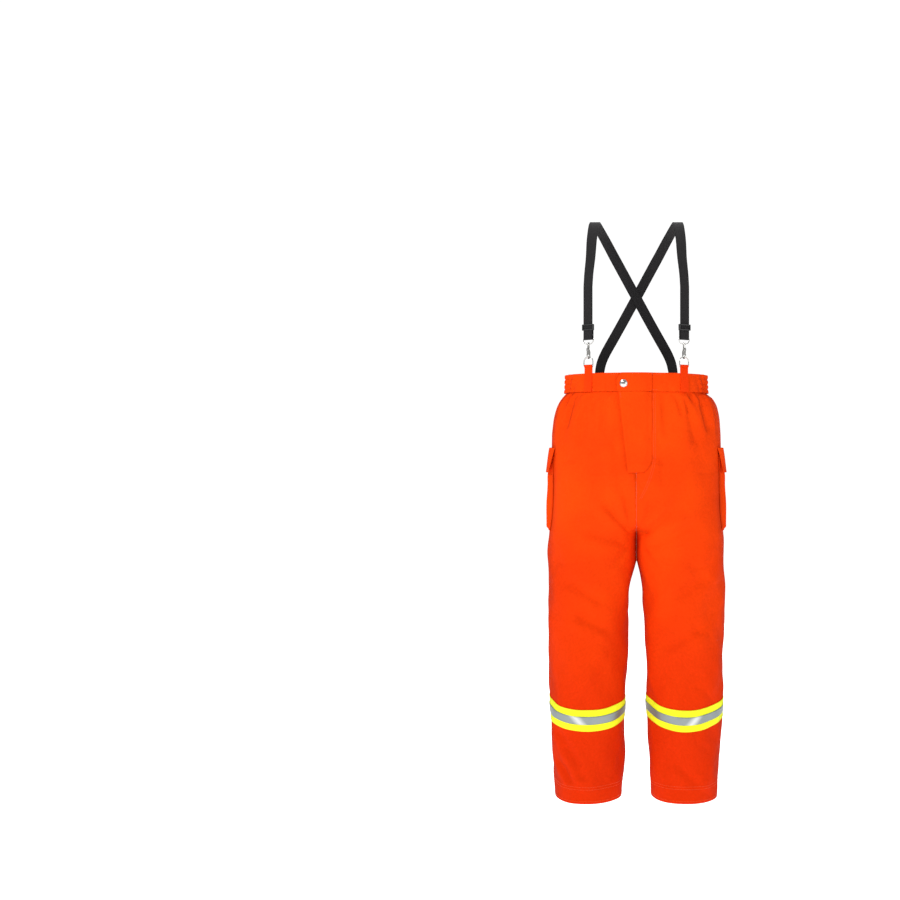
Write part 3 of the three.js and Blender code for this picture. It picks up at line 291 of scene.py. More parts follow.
def grid_quads(rows, cols, wrap_rows=False, wrap_cols=False, first=0):
    """Quads over a grid of points, joining the last line to the first where it wraps."""
    i = np.arange(rows if wrap_rows else rows - 1)[:, None]
    j = np.arange(cols if wrap_cols else cols - 1)[None, :]
    a = i * cols + j
    b = i * cols + (j + 1) % cols
    c = (i + 1) % rows * cols + (j + 1) % cols
    d = (i + 1) % rows * cols + j
    return np.stack([a, b, c, d], axis=-1).reshape(-1, 4) + first


def cloth_piece(name, outer, inner, ring=False):
    """A closed sheet between two grids of points: both faces, and a strip round every free edge.
    Its uv runs in metres across and down the sheet."""
    rows, cols = outer.shape[:2]
    half = rows * cols
    points = np.concatenate([outer.reshape(-1, 3), inner.reshape(-1, 3)])
    index = np.arange(half).reshape(rows, cols)
    loops = [index[0], index[-1][::-1]] if ring else [
        np.concatenate([index[0, :-1], index[:-1, -1], index[-1, :0:-1], index[:0:-1, 0]])
    ]
    faces = [grid_quads(rows, cols, wrap_cols=ring)]
    faces.append(grid_quads(rows, cols, wrap_cols=ring)[:, ::-1] + half)
    for loop in loops:
        after = np.roll(loop, -1)
        faces.append(np.stack([loop, loop + half, after + half, after], axis=-1))
    faces = np.concatenate(faces)
    tri = points[faces[:, [0, 1, 2]]]
    other = points[faces[:, [0, 2, 3]]]
    volume = sum(np.einsum("ij,ij->", t[:, 0], np.cross(t[:, 1], t[:, 2])) for t in (tri, other))
    if volume < 0:
        faces = faces[:, ::-1]
    across = np.linalg.norm(np.diff(outer, axis=1), axis=2)
    down = np.linalg.norm(np.diff(outer, axis=0), axis=2)
    u = np.concatenate([np.zeros((rows, 1)), np.cumsum(across, axis=1)], axis=1)
    v = np.concatenate([np.zeros((1, cols)), np.cumsum(down, axis=0)], axis=0)
    uv = np.tile(np.stack([u - u.mean(axis=1, keepdims=True), v], axis=-1).reshape(-1, 2), (2, 1))
    return mesh_piece(name, points, faces, uv)


def node_group(name, inputs, outputs):
    """An empty shader node group with float inputs and outputs, and its input and output nodes."""
    group = bpy.data.node_groups.new(name, "ShaderNodeTree")
    for socket, kind, value in inputs:
        made = group.interface.new_socket(socket, in_out="INPUT", socket_type=kind)
        if value is not None:
            made.default_value = value
    for socket in outputs:
        group.interface.new_socket(socket, in_out="OUTPUT", socket_type="NodeSocketFloat")
    return group, group.nodes.new("NodeGroupInput"), group.nodes.new("NodeGroupOutput")


def put(tree, kind, links=(), **settings):
    """Adds a node, sets its properties and fills its inputs from (socket, value or output)."""
    node = tree.nodes.new(kind)
    for key, value in settings.items():
        setattr(node, key, value)
    for socket, value in links:
        if isinstance(value, bpy.types.NodeSocket):
            tree.links.new(value, node.inputs[socket])
        else:
            node.inputs[socket].default_value = value
    return node


# Threads over and under each other: two sets of fine waves at right angles, with slubs.
weave, given, made = node_group(
    "weave", [("Vector", "NodeSocketVector", None), ("Threads", "NodeSocketFloat", 900.0)],
    ["Height", "Tone"],
)
warp = put(weave, "ShaderNodeTexWave", [("Vector", given.outputs[0]), ("Scale", given.outputs[1]),
                                        ("Distortion", 0.6), ("Detail Scale", 0.2)],
           bands_direction="X")
weft = put(weave, "ShaderNodeTexWave", [("Vector", given.outputs[0]), ("Scale", given.outputs[1]),
                                        ("Distortion", 0.6), ("Detail Scale", 0.2)],
           bands_direction="Y")
slub = put(weave, "ShaderNodeTexNoise", [("Vector", given.outputs[0]), ("Scale", 160.0),
                                         ("Detail", 4.0), ("Roughness", 0.6)])
cross = put(weave, "ShaderNodeMath", [(0, warp.outputs["Fac"]), (1, weft.outputs["Fac"])],
            operation="ADD")
grown = put(weave, "ShaderNodeMath", [(0, cross.outputs[0]), (1, slub.outputs["Fac"])],
            operation="ADD")
weave.links.new(grown.outputs[0], made.inputs["Height"])
weave.links.new(slub.outputs["Fac"], made.inputs["Tone"])

# The soft crumple of cloth that has been folded and worn: large dents with small ones on them.
crumple, given, made = node_group(
    "crumple", [("Vector", "NodeSocketVector", None), ("Size", "NodeSocketFloat", 22.0)],
    ["Height", "Tone"],
)
dents = put(crumple, "ShaderNodeTexNoise", [
    ("Vector", given.outputs[0]), ("Scale", given.outputs[1]), ("Detail", 5.0),
    ("Roughness", 0.42), ("Distortion", 0.5)])
slow = put(crumple, "ShaderNodeTexNoise", [("Vector", given.outputs[0]), ("Scale", 7.0),
                                           ("Detail", 2.0)])
crumple.links.new(dents.outputs["Fac"], made.inputs["Height"])
crumple.links.new(slow.outputs["Fac"], made.inputs["Tone"])


def principled(name, color, roughness, **sockets):
    """A material whose Principled BSDF has these plain values; the tree is ready for more nodes."""
    material = bpy.data.materials.new(name)
    material.use_nodes = True
    shader = material.node_tree.nodes["Principled BSDF"]
    shader.inputs["Base Color"].default_value = (*color, 1)
    shader.inputs["Roughness"].default_value = roughness
    for socket, value in sockets.items():
        shader.inputs[socket.replace("_", " ")].default_value = value
    return material, material.node_tree, shader


def mixed(tree, factor, a, b, blend="MIX"):
    """A colour between a and b by a factor, or b laid on a by another blend."""
    node = put(tree, "ShaderNodeMix", [(0, factor)], data_type="RGBA", blend_type=blend)
    for socket, value in ((6, a), (7, b)):
        if isinstance(value, bpy.types.NodeSocket):
            tree.links.new(value, node.inputs[socket])
        else:
            node.inputs[socket].default_value = (*value, 1)
    return node.outputs[2]


def ranged(tree, value, from_low, from_high, to_low=0.0, to_high=1.0):
    """A value carried from one range to another, held at the ends."""
    return put(tree, "ShaderNodeMapRange", [(0, value), (1, from_low), (2, from_high),
                                            (3, to_low), (4, to_high)]).outputs[0]


def bump(tree, height, strength, distance, *under):
    """A normal raised by a height, on top of another normal where one is given."""
    return put(tree, "ShaderNodeBump", [("Strength", strength), ("Distance", distance),
                                        ("Height", height)] + [("Normal", n) for n in under]
               ).outputs[0]


def woven_cloth(name, light, dark, threads, roughness=0.85, crumpled=0.5, weave_depth=0.18,
                lower=None, threads_on="UV"):
    """Woven cloth: the crumple shades it between two colours and bends its normal, and the threads
    sit on top. Lower is the colour that it turns to towards the hems. Painted shade darkens the
    cloth where it turns away from the camera."""
    material, tree, shader = principled(name, light, roughness)
    shader.inputs["Specular IOR Level"].default_value = 0.05
    place = put(tree, "ShaderNodeTexCoord")
    folded = put(tree, "ShaderNodeGroup", [("Vector", place.outputs["Object"])],
                 node_tree=crumple)
    threads_in = put(tree, "ShaderNodeGroup", [("Vector", place.outputs[threads_on]),
                                               ("Threads", threads)], node_tree=weave)
    top = light
    if lower is not None:
        split = put(tree, "ShaderNodeSeparateXYZ", [(0, place.outputs["Object"])])
        top = mixed(tree, ranged(tree, split.outputs["Z"], -0.30, -0.86), light, lower)
    shade = ranged(tree, folded.outputs["Tone"], 0.35, 0.7, 0.0, 0.55)
    color = mixed(tree, shade, top, dark)
    grain = ranged(tree, threads_in.outputs["Tone"], 0.3, 0.7, 0.0, 0.10)
    # Painted shade: the colour is darkened where the cloth turns away from the camera, along the
    # edges of the legs and body.
    turned = put(tree, "ShaderNodeLayerWeight", [("Blend", 0.5)])
    rim = ranged(tree, turned.outputs["Facing"], 0.45, 1.0, 0.0, 0.62)
    color = mixed(tree, rim, color, tuple(0.45 * c for c in dark))
    tree.links.new(mixed(tree, grain, color, (0, 0, 0)), shader.inputs["Base Color"])
    soft = bump(tree, folded.outputs["Height"], crumpled, 0.008)
    fine = bump(tree, threads_in.outputs["Height"], weave_depth, 0.0003, soft)
    tree.links.new(fine, shader.inputs["Normal"])
    rough = ranged(tree, threads_in.outputs["Tone"], 0.3, 0.7, roughness - 0.06, roughness + 0.06)
    tree.links.new(rough, shader.inputs["Roughness"])
    return material


def given_to(piece, material, slot_name, body, *nodes, bend=None):
    """Finishes a piece: its material, its body and the CAD nodes it stands for. Its slot name is
    not used.
    A bend, when given, leaves the piece baked in place rather than attached to its body; its two
    points are not used."""
    piece.data.materials.append(material)
    if nodes:
        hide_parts(*nodes)
    if bend:
        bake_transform(piece)
    else:
        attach(piece, body)
    return piece


def layer_on_half(name, side, drops, from_share, to_share, columns, outside, thickness, slot=0.0):
    """A sheet over one half of the garment between two shares of the way from the side seam (0) to
    the front (-1) or the back (+1), its outer face at an offset from the shell's outer face."""
    drop = drops[:, None]
    share = np.linspace(from_share, to_share, columns + 1)[None, :]
    grids = []
    for offset in (outside, outside - thickness):
        front_clip = fly_slot(drop, slot) if slot else SEAM_GAP / 2 + 0 * drop
        clip = np.where(share < 0, front_clip, SEAM_GAP / 2)
        angle = share * end_angle(drop, offset, clip)
        seam = SEAM_GAP / 2 / 0.12
        if from_share == 0 or to_share == 0:
            angle = np.where(share == 0, math.copysign(seam, from_share + to_share), angle)
        point = outline(side, drop + 0 * share, angle, offset)
        middle_x, reach = half_section(drop)[:2]
        meets = (np.abs(share) == 1) & (middle_x - reach - offset < clip)
        point[..., 0] = np.where(meets, side * clip, side * np.maximum(side * point[..., 0], clip))
        grids.append(point)
    return cloth_piece(name, *grids)


orange_cloth = woven_cloth("orange_shell_cloth", (0.93, 0.061, 0.0015), (0.70, 0.030, 0.001), 900,
                           crumpled=0.8, lower=(0.70, 0.027, 0.0004))
panel_drops = np.concatenate([np.linspace(0.002, 0.060, 24), np.linspace(0.064, HEM, 236)])
for name, side in SIDES:
    for face, ends in (("front", (-1, 0)), ("back", (0, 1))):
        piece = layer_on_half(f"{face}_leg_{name}", side, panel_drops, *ends, 64, 0, CLOTH,
                              0.011 if face == "front" else 0)
        given_to(piece, orange_cloth, "outer_shell", "trousers", f"{face}_panel_{name}")


# ---------- The linings ----------
# A pale coated moisture barrier and a dark quilted thermal liner follow the shell inside, slit
# behind the zip, and stop short of the hem. A strip of shell cloth is turned up inside each hem.
barrier_film = woven_cloth("barrier_film", (0.62, 0.60, 0.54), (0.52, 0.50, 0.44), 1200, 0.55, 0.3)
liner_cloth, tree, shader = principled("quilted_liner", (0.030, 0.033, 0.040), 0.95,
                                       Sheen_Weight=0.15)
place = put(tree, "ShaderNodeTexCoord")
quilt = []
for turn in (45, -45):
    tilt = put(tree, "ShaderNodeMapping", [("Vector", place.outputs["UV"]),
                                           ("Rotation", (0, 0, math.radians(turn)))])
    quilt.append(put(tree, "ShaderNodeTexWave", [("Vector", tilt.outputs[0]), ("Scale", 10.0)],
                     wave_profile="SIN").outputs["Fac"])
pillow = put(tree, "ShaderNodeMath", [(0, quilt[0]), (1, quilt[1])], operation="MINIMUM")
tree.links.new(bump(tree, pillow.outputs[0], 0.6, 0.003), shader.inputs["Normal"])
# Painted shade: the colour darkens along the quilt's sunken lines.
painted_quilt_shade = ranged(tree, pillow.outputs[0], 0.0, 0.25)
tree.links.new(mixed(tree, painted_quilt_shade, (0.012, 0.012, 0.015), (0.040, 0.043, 0.052)),
               shader.inputs["Base Color"])
lining_drops = np.linspace(0.004, HEM - 0.053, 190)
for name, side in SIDES:
    for label, node, offset, thickness, material, slot_name in (
        ("barrier", "moisture_barrier", -0.0019, 0.0008, barrier_film, "moisture_barrier"),
        ("liner", "thermal_liner", -0.0030, 0.0024, liner_cloth, "thermal_liner"),
    ):
        piece = layer_on_half(f"{label}_{name}", side, lining_drops, -1, 1, 112, offset, thickness,
                              0.0165)
        given_to(piece, material, slot_name, "trousers", f"{node}_{name}")


def ring_on_leg(name, side, centre_drop, sag, height, rows, outside, thickness, columns=160):
    """A band right round one leg. Its middle hangs lower at the front by sag, and its uv has
    u = 0 at the front."""
    angle = np.linspace(math.pi / 2, math.pi * 5 / 2, columns, endpoint=False)[None, :]
    hang = sag * np.clip(-np.sin(angle), 0, None) ** 1.5
    drop = centre_drop + hang + (np.linspace(-0.5, 0.5, rows)[:, None]) * height
    outer = outline(side, drop, angle + 0 * drop, outside)
    inner = outline(side, drop, angle + 0 * drop, outside - thickness)
    return cloth_piece(name, outer, inner, ring=True)


for name, side in SIDES:
    piece = ring_on_leg(f"hem_turn_up_{name}", side, HEM - 0.023, 0, 0.042, 12, -0.0019, 0.0012)
    given_to(piece, orange_cloth, "outer_shell", "trousers", f"hem_facing_{name}")


# ---------- Reflective trim ----------
# Lime tape round each shin, sagging a little at the front, with a silver strip of tiny glass
# beads sewn along its middle. The lime tape has a faint painted glow. The silver carries painted
# shade towards the sides and a painted diagonal highlight.
lime_tape = woven_cloth("lime_tape", (0.92, 0.95, 0.030), (0.70, 0.78, 0.012), 1400, 0.6, 0.12, 0.1)
# Painted glow: a faint lime emission makes the tape glow.
lime_tape.node_tree.nodes["Principled BSDF"].inputs["Emission Strength"].default_value = 0.10
lime_tape.node_tree.nodes["Principled BSDF"].inputs["Emission Color"].default_value = (
    0.85, 0.95, 0.02, 1)
silver_tape, tree, shader = principled("silver_tape", (0.40, 0.43, 0.43), 0.38, Metallic=0.35)
place = put(tree, "ShaderNodeTexCoord")
across = put(tree, "ShaderNodeSeparateXYZ", [(0, place.outputs["UV"])])
# Painted highlight: a bright diagonal band across the strip, placed in uv.
slant = put(tree, "ShaderNodeMath", [(0, across.outputs["Y"]), (1, 0.9), (2, -0.030)],
            operation="MULTIPLY_ADD")
along = put(tree, "ShaderNodeMath", [(0, across.outputs["X"]), (1, slant.outputs[0])],
            operation="ADD")
off_painted_glint = put(tree, "ShaderNodeMath", [(0, along.outputs[0])], operation="ABSOLUTE")
painted_glint = ranged(tree, off_painted_glint.outputs[0], 0.016, 0.002)
# Painted shade: the strip's grey darkens where it turns away towards the sides.
edge = put(tree, "ShaderNodeLayerWeight", [("Blend", 0.35)])
painted_side_shade = mixed(tree, edge.outputs["Facing"], (0.27, 0.31, 0.31), (0.09, 0.11, 0.12))
tree.links.new(mixed(tree, painted_glint, painted_side_shade, (0.62, 0.65, 0.64)), shader.inputs["Base Color"])
beads = put(tree, "ShaderNodeTexVoronoi", [("Vector", place.outputs["UV"]), ("Scale", 1500.0)])
tree.links.new(bump(tree, beads.outputs["Distance"], 0.25, 0.0002), shader.inputs["Normal"])
TAPE_DROP, TAPE_SAG = 0.787, 0.020
for name, side in SIDES:
    lime = ring_on_leg(f"lime_trim_{name}", side, TAPE_DROP, TAPE_SAG, 0.050, 16, 0.0011, 0.0008)
    given_to(lime, lime_tape, "lime_trim", "trousers", f"lime_tape_{name}")
    bright = ring_on_leg(f"silver_trim_{name}", side, TAPE_DROP, TAPE_SAG, 0.0185, 8, 0.0020,
                         0.0006)
    given_to(bright, silver_tape, "silver_trim", "trousers", f"silver_strip_{name}")


# ---------- The waistband ----------
# A doubled band of shell cloth. At each side it is gathered over wide elastic, in close upright
# ruffles that three stitched channels hold down; the front and back run flat.
def band_sheet(name, side, from_share, to_share, columns):
    """One quarter of the band, with ruffles where the elastic lies behind it."""
    drop = np.linspace(0, BAND_HEIGHT - 0.0003, 30)[:, None]
    share = np.linspace(from_share, to_share, columns + 1)[None, :] + 0 * drop
    grids = []
    for offset in (0.0025, 0.0007):
        end = end_angle(drop, offset, 0.001 + 0 * drop)
        angle = share * end
        angle = np.where(share == 0, math.copysign(0.0016, from_share + to_share), angle)
        over_elastic = np.clip((0.62 - np.abs(angle)) / 0.10, 0, 1)
        sewn = sum(np.exp(-(((drop - d) / 0.0022) ** 2)) for d in (0.010, 0.0215, 0.033))
        ridge = 0.5 + 0.5 * np.sin(angle * 46 + 1.4 * np.sin(drop * 90 + angle * 9))
        ruffle = 0.0034 * over_elastic * ridge * (1 - 0.62 * sewn)
        slow = 0.0009 * (0.5 + 0.5 * np.sin(angle * 11 + drop * 70)) * (1 - over_elastic)
        slow = slow + 0.0007 * (0.5 + 0.5 * np.sin(angle * 31 - drop * 110)) * (1 - over_elastic)
        slow = slow * np.clip((np.abs(angle + 1.57) - 0.24) / 0.1, 0, 1)
        grids.append(outline(side, drop, angle, offset + ruffle + slow))
    return cloth_piece(name, *grids)


for name, side in SIDES:
    for face, ends in (("front", (-1, 0)), ("back", (0, 1))):
        piece = band_sheet(f"band_{face}_{name}", side, *ends, 220)
        given_to(piece, orange_cloth, "outer_shell", "trousers", f"waistband_{face}_{name}")


# ---------- The fly ----------
# A flap of shell cloth folded from the wearer's left that covers the zip and ends in a pointed
# tab at the waist. It lies close to the panel at its fold and stands off over the zip.
FLY_HINGE_X, FLY_LENGTH = 0.0365, 0.230


def depth_at(x, drop, face, offset):
    """The outline's y at a given |x|, on the front (-1) or the back (+1)."""
    middle_x, reach, depth, middle, square = half_section(drop)
    share = np.clip(np.abs((np.abs(x) - middle_x) / (reach + offset)), 0, 1)
    return middle + face * (depth + offset) * (1 - share ** square) ** (1 / square)


def side_at(y, drop, offset):
    """The outline's half width at a given y."""
    middle_x, reach, depth, middle, square = half_section(drop)
    share = np.clip(np.abs((y - middle) / (depth + offset)), 0, 1)
    return middle_x + (reach + offset) * (1 - share ** square) ** (1 / square)


def eased(value, low, high):
    """0 below low, 1 above high and an S curve between."""
    t = np.clip((value - low) / (high - low), 0, 1)
    return t * t * (3 - 2 * t)


def fly_sheet(name, top, bottom, rows, free_edge, at_fold):
    """The flap or its tab: from the fold to a free edge, with a slightly wavy face."""
    drop = np.linspace(top, bottom, rows)[:, None]
    t = np.linspace(0, 1, 41)[None, :]
    fold = FLY_HINGE_X - 0.020 * np.clip((drop - 0.195) / 0.035, 0, 1) ** 2
    x = fold + (free_edge(drop) - fold) * t
    stand = at_fold + (0.0062 - at_fold) * eased(fold - x, 0, 0.020)
    stand = stand + 0.0008 * np.sin(drop * 60 + x * 40) * eased(drop, 0.06, 0.09)
    stand = stand + 0.0022 * eased(t, 0.80, 1.0) * eased(drop, 0.05, 0.08) * (at_fold < 0.001)
    close = eased(drop, FLY_LENGTH - 0.022, FLY_LENGTH - 0.001) * (at_fold < 0.001)
    stand = stand * (1 - 0.80 * close) + 0.0004 * close
    thick = CLOTH - 0.0005 * (t > 0.97) - 0.0011 * (at_fold < 0.001) * (t < 0.01)
    thick = thick - 0.0008 * eased(drop, FLY_LENGTH - 0.004, FLY_LENGTH)
    return cloth_piece(name, xyz(x, depth_at(x, drop, -1, stand + thick), -drop),
                       xyz(x, depth_at(x, drop, -1, stand), -drop))


def tab_edge(drop):
    """The tab's free edge: a sloping corner at the top, then nearly upright."""
    return -0.0335 - 0.013 * np.sin(np.minimum(drop / 0.020, 1) * math.pi / 2) + drop / 20


def flap_edge(drop):
    """The flap's free edge, slanting back towards the fold."""
    return -0.041 + 0.022 * (drop - BAND_HEIGHT) / (FLY_LENGTH - BAND_HEIGHT)


tab = fly_sheet("fly_tab", 0, BAND_HEIGHT - 0.00015, 24, tab_edge, 0.0028)
given_to(tab, orange_cloth, "outer_shell", "fly", "waistband_tab")
flap = fly_sheet("fly_cover", BAND_HEIGHT + 0.00015, FLY_LENGTH, 70, flap_edge, 0.0006)
given_to(flap, orange_cloth, "outer_shell", "fly", "fly_flap")
drop = np.linspace(0.044, 0.220, 40)[:, None]
x = np.linspace(-0.030, 0.022, 25)[None, :]
guard = cloth_piece("zip_guard", *[
    xyz(x, depth_at(x, drop, -1, offset), -drop) for offset in (-0.0061, -0.0077)])
given_to(guard, orange_cloth, "outer_shell", "trousers", "fly_underlap")


# ---------- Metal: snap, zip slider, rings, hooks and adjusters ----------
# The snap and the hooks are polished nickel plate, the zip's slider is cast brass and the
# adjusters are black enamelled wire. Fine scratches run over all of them.
scratched, given, made = node_group(
    "scratches", [("Vector", "NodeSocketVector", None)], ["Height", "Dull"])
stretched = put(scratched, "ShaderNodeMapping", [("Vector", given.outputs[0]),
                                                 ("Scale", (300.0, 60.0, 900.0))])
lines = put(scratched, "ShaderNodeTexNoise", [("Vector", stretched.outputs[0]), ("Scale", 3.0),
                                              ("Detail", 6.0)])
scratched.links.new(lines.outputs["Fac"], made.inputs["Height"])
scratched.links.new(lines.outputs["Fac"], made.inputs["Dull"])


def metal(name, color, roughness, metallic=1.0, coat=0.0):
    """Plated or enamelled metal with fine scratches and a little uneven polish, and a painted dark
    reflection that darkens its colour towards grazing angles.
    """
    material, tree, shader = principled(name, color, roughness, Metallic=metallic,
                                        Coat_Weight=coat)
    place = put(tree, "ShaderNodeTexCoord")
    marks = put(tree, "ShaderNodeGroup", [("Vector", place.outputs["Object"])],
                node_tree=scratched)
    tree.links.new(ranged(tree, marks.outputs["Dull"], 0.3, 0.75, roughness * 0.7,
                          roughness * 1.5), shader.inputs["Roughness"])
    # Painted reflection: the colour darkens where the surface turns away from the camera, standing
    # in for dark surroundings mirrored in the metal.
    turned = put(tree, "ShaderNodeLayerWeight", [("Blend", 0.5)])
    rim = ranged(tree, turned.outputs["Facing"], 0.18, 0.75)
    tree.links.new(mixed(tree, rim, color, tuple(0.16 * c for c in color)),
                   shader.inputs["Base Color"])
    tree.links.new(bump(tree, marks.outputs["Height"], 0.08, 0.0001), shader.inputs["Normal"])
    return material


nickel = metal("nickel_plate", (0.70, 0.69, 0.66), 0.16)
brass = metal("cast_brass", (0.55, 0.38, 0.14), 0.28)
enamel = metal("black_enamel", (0.018, 0.018, 0.019), 0.34, 0.0, 0.6)


def refinish(node, material, bevel=0.0):
    """A CAD node keeps its shape and gets its material, with its sharp edges slightly eased."""
    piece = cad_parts[node]
    piece.data.materials.clear()
    piece.data.materials.append(material)
    if bevel:
        eased_edge = piece.modifiers.new("eased", "BEVEL")
        eased_edge.width = bevel
        eased_edge.segments = 2
        eased_edge.limit_method = "ANGLE"
        eased_edge.angle_limit = math.radians(35)
    return piece


def tube(name, path, radius, sides=16, closed=True):
    """Round wire along a path that stays near one plane, capped where it is open."""
    path = np.asarray(path, float)
    if closed:
        along = np.roll(path, -1, axis=0) - np.roll(path, 1, axis=0)
    else:
        along = np.gradient(path, axis=0)
    along /= np.linalg.norm(along, axis=1, keepdims=True)
    spread = path - path.mean(axis=0)
    normal = np.linalg.svd(spread, full_matrices=False)[2][2]
    first = np.cross(along, normal)
    first /= np.linalg.norm(first, axis=1, keepdims=True)
    second = np.cross(along, first)
    a = np.linspace(0, 2 * math.pi, sides, endpoint=False)[None, :, None]
    size = np.broadcast_to(np.asarray(radius, float), len(path))[:, None, None]
    rings = path[:, None] + size * (np.cos(a) * first[:, None] + np.sin(a) * second[:, None])
    points = rings.reshape(-1, 3)
    faces = grid_quads(len(path), sides, wrap_rows=closed, wrap_cols=True).tolist()
    if not closed:
        faces += [list(range(sides))[::-1], list(range(len(points) - sides, len(points)))]
    return mesh_piece(name, points, outward(points, faces))


def outward(points, faces):
    """The faces turned so that they enclose a positive volume."""
    volume = 0
    quads = np.array([face for face in faces if len(face) == 4])
    for corners in ((0, 1, 2), (0, 2, 3)):
        t = points[quads[:, corners]]
        volume += np.einsum("ij,ij->", t[:, 0], np.cross(t[:, 1], t[:, 2]))
    return [list(g)[::-1] for g in faces] if volume < 0 else faces


def lathe(name, profile, centre, axis, sides=64):
    """A turned piece from (radius, height) pairs that begin and end on the axis."""
    axis = np.array(axis) / np.linalg.norm(axis)
    first = np.cross(axis, (0, 0, 1.0) if abs(axis[2]) < 0.9 else (1.0, 0, 0))
    first = first / np.linalg.norm(first)
    second = np.cross(axis, first)
    profile = np.array(profile)
    a = np.linspace(0, 2 * math.pi, sides, endpoint=False)[None, :, None]
    body = profile[1:-1]
    rings = (np.array(centre) + body[:, 1][:, None, None] * axis
             + body[:, 0][:, None, None] * (np.cos(a) * first + np.sin(a) * second))
    points = np.concatenate([rings.reshape(-1, 3), [np.array(centre) + axis * profile[0, 1]],
                             [np.array(centre) + axis * profile[-1, 1]]])
    faces = grid_quads(len(body), sides, wrap_cols=True).tolist()
    foot, top = len(points) - 2, len(points) - 1
    start = (len(body) - 1) * sides
    faces += [[foot, (k + 1) % sides, k] for k in range(sides)]
    faces += [[top, start + k, start + (k + 1) % sides] for k in range(sides)]
    return mesh_piece(name, points, outward(points, faces))


SNAP_X, SNAP_DROP = -0.0282, 0.025
rise = depth_at(0.0287, SNAP_DROP, -1, 0) - depth_at(0.0277, SNAP_DROP, -1, 0)
snap_out = np.array([-math.sin(math.atan2(rise, 0.001)), -math.cos(math.atan2(rise, 0.001)), 0])
snap_at = np.array([SNAP_X, float(depth_at(SNAP_X, SNAP_DROP, -1, 0)), -SNAP_DROP])
dome = [(0, 0.0079), (0.0084, 0.0079), (0.0088, 0.0081), (0.0090, 0.0086), (0.0088, 0.0091),
        (0.0082, 0.0095), (0.0076, 0.0096), (0.0072, 0.0095), (0.0068, 0.0097), (0.0060, 0.0103),
        (0.0048, 0.0108), (0.0034, 0.0111), (0.0018, 0.01125), (0, 0.0113)]
cap = lathe("snap_dome", dome, snap_at, snap_out)
given_to(cap, nickel, "nickel", "fly", "snap_cap")
refinish("snap_socket", nickel, 0.0002)
refinish("snap_stud", nickel, 0.0002)
refinish("zip_slider", brass, 0.0003)
refinish("zip_pull", brass, 0.0004)


